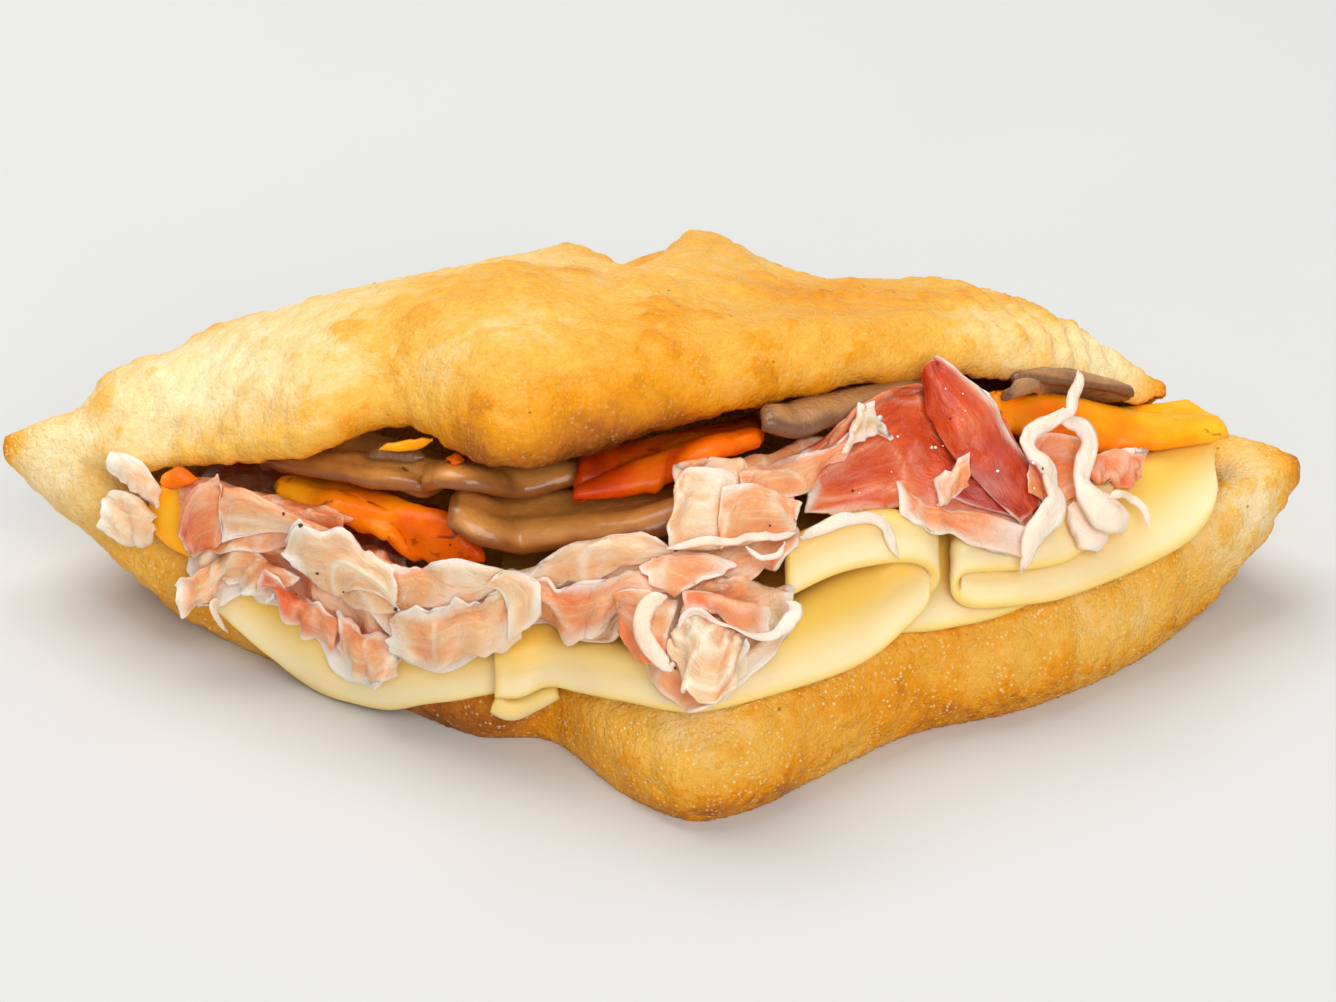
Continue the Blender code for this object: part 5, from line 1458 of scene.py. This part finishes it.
class CRESCENTINA_OT_right_ham(bpy.types.Operator):
    """Lays the lean slices, the raised flap and the fatty strands on the right"""

    bl_idname = "crescentina.right_ham"
    bl_label = "Ham on the right"

    def execute(self, context):
        fat_strand("ham_fat_lobe_low", "ham_lobe_low", ((55, 0.36, 5), (57, 0.26, 5.5), (59, 0.12, 5)),
                   (3, 4.5, 4), 54, lean=0.25)  # fmt: skip
        ham_slice(
            "ham_slice_lean", "ham_lean",
            ((20, 0.55, 0.72, 4), (27, 0.51, 0.85, 4.5), (34, 0.47, 0.93, 4.5), (41, 0.38, 0.85, 4.5),
             (49, 0.28, 0.60, 5)),
            (4, 33), (1.5, 0.6), 73, 0.68, 0.4, (0.5, 3), (0.9, 0, 1.2, 0),
        )  # fmt: skip
        ham_slice(
            "ham_slice_raised", "ham_flap",
            ((3, 0.50, 0.82, 6), (10, 0.48, 0.77, 6.5), (18, 0.46, 0.60, 6)),
            (2, 34), (1.5, 0.8), 79, 0.3, 0.6, (0.6, 3), (1.2, 0, 1.2, 1),
        )  # fmt: skip
        ham_fold(
            "ham_fold_low_band",
            ((32, 0.45, 7), (35, 0.38, 7), (39, 0.33, 7), (44, 0.24, 7), (49, 0.19, 7)),
            ((32, 0.57, 7), (35, 0.47, 7), (40, 0.41, 7), (45, 0.35, 7), (49, 0.3, 7)),
            116, 0.55, (0.8, 0.2, 1.0, 3.5), 0.8, 0.5, ruffles=(3, 0.4),
        )  # fmt: skip
        # painted shade: a fold of the darkest lean ham, laid where the lean slice has a hollow in shade
        ham_fold(
            "ham_fold_hollow_shade", ((38, 0.48, 6), (42, 0.42, 6), (47, 0.35, 6)),
            ((38, 0.59, 6), (42, 0.60, 6), (46, 0.5, 6)),
            125, 1.2, (0.2, 0.2, 0.2, 0.2), 0.2, 0.4,
        )  # fmt: skip
        ham_fold(
            "ham_fold_back", ((12, 0.64, 6), (16, 0.6, 6), (19, 0.59, 6), (22, 0.66, 6), (25, 0.7, 6)),
            ((11, 0.72, 6), (15, 0.75, 6), (20, 0.76, 6), (24, 0.77, 6), (27, 0.80, 6)),
            126, 0.36, (0.5, 0.8, 0.5, 0.5), 0.8, 0.4, ruffles=(2, 0.3),
        )  # fmt: skip
        ham_fold(
            "ham_fold_back_patch", ((25, 0.74, 7), (28, 0.75, 7), (31, 0.75, 7)),
            ((26, 0.82, 7), (28, 0.87, 7), (30, 0.8, 7)),
            127, 0.05, (1.2, 1.5, 1, 1), 0.8, 0.9, (1.2, 1.4), size=2.5,
        )  # fmt: skip
        ham_slice(
            "ham_slice_lean_raised", "ham_lean_flap",
            ((37, 0.82, 1.00, 6), (42, 0.66, 0.90, 6.5), (46, 0.52, 0.72, 6.5), (50, 0.40, 0.48, 6)),
            (2, 35), (1, 0.3), 83, 0.9, 0.3, (0.4, 3), (0.3, 0, 0.2, 0.5),
        )  # fmt: skip
        ham_fold(
            "ham_fold_lean_raised",
            ((36, 0.97, 8), (36, 0.9, 8.5), (36.6, 0.82, 8.5), (38, 0.71, 8.5), (41, 0.56, 8.5), (44, 0.43, 8.5),
             (48, 0.31, 8)),
            ((37, 1.01, 8), (40.5, 0.94, 8.5), (44, 0.85, 8.5), (46, 0.74, 8.5), (48, 0.62, 8.5), (50, 0.51, 8.5),
             (51, 0.38, 8)),
            128, 0.95, (0.1, 0.7, 0.2, 0.2), 1.3, 0.25, (0.3, 3),
        )  # fmt: skip
        ham_fold(
            "ham_fold_ridge", ((36.5, 0.45, 7), (38.5, 0.47, 7), (41, 0.5, 7)),
            ((37, 0.53, 7.5), (39.5, 0.57, 7.5), (42, 0.61, 7.5)),
            129, 0.35, (0.6, 0.9, 0.8, 0.8), 1.0, 0.8, (0.7, 1.6), size=2.5,
        )  # fmt: skip
        ham_fold(
            "ham_fold_raised_left",
            ((2, 0.49, 9), (4, 0.48, 9), (6, 0.47, 9), (8, 0.46, 9), (10, 0.46, 9)),
            ((3, 0.68, 9), (4, 0.75, 9), (5, 0.77, 9), (8, 0.74, 9), (11, 0.69, 9)),
            117, 0.2, (0.6, 1.4, 1.6, 0.4), 1.0, 0.3, (0.6, 2.4),
        )  # fmt: skip
        ham_fold(
            "ham_fold_raised_right",
            ((8, 0.45, 9.5), (11, 0.45, 9.5), (14, 0.45, 9.5), (16, 0.44, 9.5), (18, 0.46, 9.5)),
            ((9, 0.65, 9.5), (12, 0.65, 9.5), (14, 0.63, 9.5), (17, 0.58, 9.5), (19, 0.53, 9.5)),
            118, 0.32, (0.8, 1.3, 0.4, 1.3), 1.0, 0.3, (0.6, 2.4),
        )  # fmt: skip
        fat_strand("ham_fat_edge", "",
                   ((2, 0.46, 10), (5, 0.46, 10), (7, 0.46, 10), (11, 0.45, 10), (15, 0.44, 10), (18, 0.44, 10)),
                   (0.7, 1.1, 0.8, 1.2, 0.9), 120, thick=0.5)  # fmt: skip
        fat_strand("ham_fat_loop", "",
                   ((12, 0.43, 10), (13, 0.39, 10), (14, 0.37, 10), (16, 0.37, 10), (17, 0.4, 10)),
                   (0.7, 0.9, 0.8), 121, thick=0.6)  # fmt: skip
        fat_strand("ham_fat_finger", "",
                   ((2, 0.3, 9.5), (0, 0.27, 9.5), (-1, 0.19, 9.5), (0, 0.12, 9.5), (2, 0.05, 9.5), (3, 0.06, 9.5)),
                   (1.4, 2.2, 2.4, 2.2, 1.4), 122, thick=0.9, fat=0.6)  # fmt: skip
        fat_strand("ham_fat_fringe", "",
                   ((3, 0.17, 10), (4, 0.22, 10), (6, 0.23, 10), (9, 0.17, 10), (13, 0.12, 10), (16, 0.12, 10),
                    (18, 0.17, 10), (17, 0.21, 10)),
                   (0.6, 0.8, 0.6, 0.7, 1.2, 2.0, 1.2), 123, thick=0.5)  # fmt: skip
        fat_strand("ham_fat_rim", "ham_rim", ((19, 0.43, 7), (25, 0.47, 8), (30, 0.40, 8), (32, 0.28, 8)),
                   (1.4, 2.0, 1.8, 1.0), 55, thick=0.6)  # fmt: skip
        ham_fold(
            "ham_fold_in_ring", ((49.5, 0.42, 5), (53, 0.38, 5), (57.5, 0.38, 5)),
            ((49.5, 0.66, 5), (53, 0.71, 5), (57.5, 0.68, 5)),
            130, 0.6, (0.3, 0.8, 0.3, 0.3), 0.3, 0.4,
        )  # fmt: skip
        ham_fold(
            "ham_meat_bit", ((57.5, 0.47, 3.5), (61, 0.44, 3.5), (65.5, 0.45, 3.5)),
            ((58, 0.56, 4), (62, 0.57, 4), (66, 0.53, 4)),
            56, 0.5, (0.2, 0.3, 0.2, 0.3), 1.2, 1.5, (1.0, 1.3), 2.2, "ham_bit", size=1.9,
        )  # fmt: skip
        fat_strand("ham_fat_lobe", "ham_lobe",
                   ((54, 0.72, 7.5), (57, 0.68, 8), (58, 0.6, 8), (57, 0.51, 8), (56.5, 0.43, 7.5), (58, 0.32, 7),
                    (61, 0.21, 6.5), (62.5, 0.14, 6)), (1.6, 2.4, 2.6, 2.6, 3.8, 5.2, 3.5), 57, thick=1.7)  # fmt: skip
        fat_strand("ham_fat_curl", "ham_curl",
                   ((57, 0.95, 7.5), (57, 0.88, 8), (56, 0.8, 8.5), (55.3, 0.73, 8.5), (53, 0.715, 8.5),
                    (50.5, 0.68, 8.5), (49.3, 0.62, 8.5), (50, 0.56, 8.5), (52, 0.49, 8.5), (52.3, 0.43, 8.5),
                    (53, 0.36, 8.5), (52, 0.3, 8.5), (49.5, 0.22, 8), (48, 0.12, 7.5)),
                   (1.0, 1.5, 1.7, 2.2, 2.4, 2.4, 2.6, 3.6, 2.6, 0.8), 58, thick=1.3)  # fmt: skip
        return {"FINISHED"}


RINGS, SPOKES = 5, 8  # points of a grain, besides its two poles


def grains(name, places, sizes, seed, material, slot):
    """Crushed grains as one mesh: each a ball of RINGS by SPOKES points, stretched and dented by its own noise.

    Point = place + size * (sin a cos b, sin a sin b, cos a) * (1 + noise).
    """
    count, top = len(places), RINGS * SPOKES
    draw = np.random.default_rng(seed)
    down = np.linspace(0.35, math.pi - 0.35, RINGS)
    turn = np.linspace(0, 2 * math.pi, SPOKES, endpoint=False)
    a, b = np.meshgrid(down, turn, indexing="ij")
    ball = np.stack([np.sin(a) * np.cos(b), np.sin(a) * np.sin(b), np.cos(a)], axis=-1).reshape(-1, 3)
    ball = np.concatenate([ball, [[0, 0, 1], [0, 0, -1]]])
    stretch = draw.uniform(0.6, 1.2, (count, 1, 3))
    dent = 1 + 0.2 * draw.uniform(-1, 1, (count, len(ball), 1))
    points = places[:, None] + ball[None] * stretch * dent * np.array(sizes)[:, None, None]
    corner = np.arange(top).reshape(RINGS, SPOKES)
    nearby = np.roll(corner, -1, axis=1)
    quads = np.stack([corner[:-1].ravel(), corner[1:].ravel(), nearby[1:].ravel(), nearby[:-1].ravel()], 1)
    caps = np.concatenate([
        np.stack([np.full(SPOKES, top), corner[0], nearby[0]], 1),
        np.stack([np.full(SPOKES, top + 1), nearby[-1], corner[-1]], 1),
    ])  # fmt: skip
    one = quads.tolist() + caps.tolist()
    faces = [[len(ball) * k + corner for corner in face] for k in range(count) for face in one]
    piece(name, points.reshape(-1, 3), faces, material, slot)


class CRESCENTINA_OT_scraps(bpy.types.Operator):
    """Lays the shreds in the notch of the flap, loose threads of fat, ground pepper and salt"""

    bl_idname = "crescentina.scraps"
    bl_label = "Shreds, pepper and salt"

    def execute(self, context):
        mushroom, pepper = mushroom_finish(True), finish(roasted_pepper)
        ribbon("mushroom_shred", (), ((-37.5, 0.94, -4), (-34, 0.965, -4), (-29.5, 0.945, -5)), (1.8, 2.8, 2.0), 1.6,
               mushroom, "mushroom", 61, skin=1.0)  # fmt: skip
        ribbon("pepper_sliver", (), ((-35.5, 0.98, -3), (-32, 1.02, -3.5), (-28.5, 1.06, -4)), (0.8, 1.6, 1.3), 0.9,
               pepper, "roasted_pepper", 62, ripe=0.3)  # fmt: skip
        ribbon("pepper_shred", (), ((-26.5, 0.97, -3), (-24.3, 0.945, -3)), (2.2, 2.8), 1.3,
               pepper, "roasted_pepper", 63, 0.35, ripe=0.6)  # fmt: skip
        fat_strand("ham_thread_left", "", ((-58, -0.12, 4.5), (-58.5, -0.26, 4.5), (-57, -0.38, 4)),
                   (0.7, 0.9, 0.6), 64, thick=0.6)  # fmt: skip
        fat_strand("ham_thread_right", "", ((60, 0.30, 6), (63, 0.31, 6.5), (65, 0.23, 6.5), (66, 0.10, 6)),
                   (1.0, 1.5, 1.2, 0.6), 65, thick=0.6)  # fmt: skip
        ribbon("pepper_bit", (), ((-65.5, 0.82, 4), (-63, 0.98, 4), (-60, 1.0, 4)), (2.6, 3.4, 1.6), 1.0,
               pepper, "roasted_pepper", 66, 0.35, ripe=0.75)  # fmt: skip
        peppercorn = finish(crushed, "ground black pepper", linear("17120F"), linear("4A3B30"), 0.5)
        spots_on_ham = ((-48, 0.50), (-45.5, 0.42), (-43.5, 0.16), (-47, 0.02), (51, 0.52), (-33, 0.1), (-40, 0.1),
                        (3, 0.06), (-26, 0.58), (26, 0.60), (39, 0.78), (15, 0.52))  # fmt: skip
        places = pile.drop(np.array([on_front(x, up, 0) for x, up in spots_on_ham]), 0.1)
        draw = np.random.default_rng(7)
        grains("pepper_grains", places, draw.uniform(0.14, 0.32, len(places)), 8, peppercorn, "cured_ham")
        salt = finish(crushed, "coarse salt", linear("F2ECE4"), linear("FFFFFF"), 0.2)
        count = 16
        x = draw.uniform(26, 50, count)
        up = draw.uniform(0.45, 0.95, count)
        places = pile.drop(np.array([on_front(a, b, 0) for a, b in zip(x, up)]), 0.05)
        grains("salt_grains", places, draw.uniform(0.1, 0.22, count), 9, salt, "cured_ham")
        return {"FINISHED"}


def card(name, half, z):
    """A flat square of card, made of one face, facing up, from half its side and its height in metres."""
    mesh = bpy.data.meshes.new(name)
    mesh.from_pydata([(-half, -half, z), (half, -half, z), (half, half, z), (-half, half, z)], [], [(0, 1, 2, 3)])
    thing = bpy.data.objects.new(name, mesh)
    bpy.context.scene.collection.objects.link(thing)
    return thing


def lamp(name, power, size, place, target):
    """A soft square lamp, turned to its target."""
    light = bpy.data.lights.new(name, "AREA")
    light.energy, light.size = power, size
    thing = bpy.data.objects.new(name, light)
    thing.location = place
    thing.rotation_euler = (Vector(target) - Vector(place)).to_track_quat("-Z", "Y").to_euler()
    bpy.context.scene.collection.objects.link(thing)


class CRESCENTINA_OT_stage(bpy.types.Operator):
    """Makes the pale card underneath, the soft lights and the camera at the photograph's angle"""

    bl_idname = "crescentina.stage"
    bl_label = "Card, lights and camera"

    def execute(self, context):
        stage = look().crescentina_stage
        scene = bpy.context.scene
        floor = card("card", 3.0, 0.0)
        floor.data.materials.append(finish(matt_card))
        # each lamp's power, its side and its place, in metres
        lamp("lamp_above", stage.key, 0.9, (-0.25, 0.35, 1.0), VIEWED)
        lamp("lamp_front", stage.fill, 0.7, (0.25, -0.9, 0.65), VIEWED)
        world = bpy.data.worlds.new("pale room")
        world.use_nodes = True
        world.node_tree.nodes["Background"].inputs["Color"].default_value = linear("FDFCFA")
        world.node_tree.nodes["Background"].inputs["Strength"].default_value = stage.sky
        scene.world = world
        camera = bpy.data.cameras.new("camera")
        camera.lens, camera.sensor_width, camera.clip_start = stage.lens, 36, 0.01
        thing = bpy.data.objects.new("camera", camera)
        away = Vector((0, -math.cos(stage.height), math.sin(stage.height))) * stage.distance
        thing.location = Vector(VIEWED) + away
        thing.rotation_euler = (-away).to_track_quat("-Z", "Y").to_euler()
        scene.collection.objects.link(thing)
        scene.camera = thing
        scene.view_settings.view_transform = "Standard"
        return {"FINISHED"}


OPERATORS = (
    CRESCENTINA_OT_dough, CRESCENTINA_OT_cheese, CRESCENTINA_OT_low_ham, CRESCENTINA_OT_roast,
    CRESCENTINA_OT_front_ham, CRESCENTINA_OT_upper_roast, CRESCENTINA_OT_right_ham,
    CRESCENTINA_OT_scraps, CRESCENTINA_OT_stage,
)  # fmt: skip
LOOKS = {"crescentina_dough": DoughLook, "crescentina_slices": SliceLook, "crescentina_stage": StageLook}


class CRESCENTINA_PT_panel(bpy.types.Panel):
    """The steps of the crescentina, and the values that they read"""

    bl_idname = "CRESCENTINA_PT_panel"
    bl_label = "Crescentina"
    bl_space_type = "VIEW_3D"
    bl_region_type = "UI"
    bl_category = "Crescentina"

    def draw(self, context):
        for name, kind in LOOKS.items():
            column = self.layout.column()
            for value in kind.__annotations__:
                column.prop(getattr(context.scene, name), value)
        for operator in OPERATORS:
            self.layout.operator(operator.bl_idname)


def register():
    """Adds the looks, the steps and the panel."""
    for kind in (*LOOKS.values(), *OPERATORS, CRESCENTINA_PT_panel):
        bpy.utils.register_class(kind)
    for name, kind in LOOKS.items():
        setattr(bpy.types.Scene, name, PointerProperty(type=kind))


def unregister():
    """Takes them out again."""
    for name in LOOKS:
        delattr(bpy.types.Scene, name)
    for kind in reversed((*LOOKS.values(), *OPERATORS, CRESCENTINA_PT_panel)):
        bpy.utils.unregister_class(kind)


def main():
    """Runs the steps in the order in which the pieces lie on each other."""
    register()
    bpy.ops.crescentina.dough()
    bpy.ops.crescentina.cheese()
    bpy.ops.crescentina.low_ham()
    bpy.ops.crescentina.roast()
    bpy.ops.crescentina.front_ham()
    bpy.ops.crescentina.upper_roast()
    bpy.ops.crescentina.right_ham()
    bpy.ops.crescentina.scraps()
    bpy.ops.crescentina.stage()


if __name__ == "__main__":
    main()
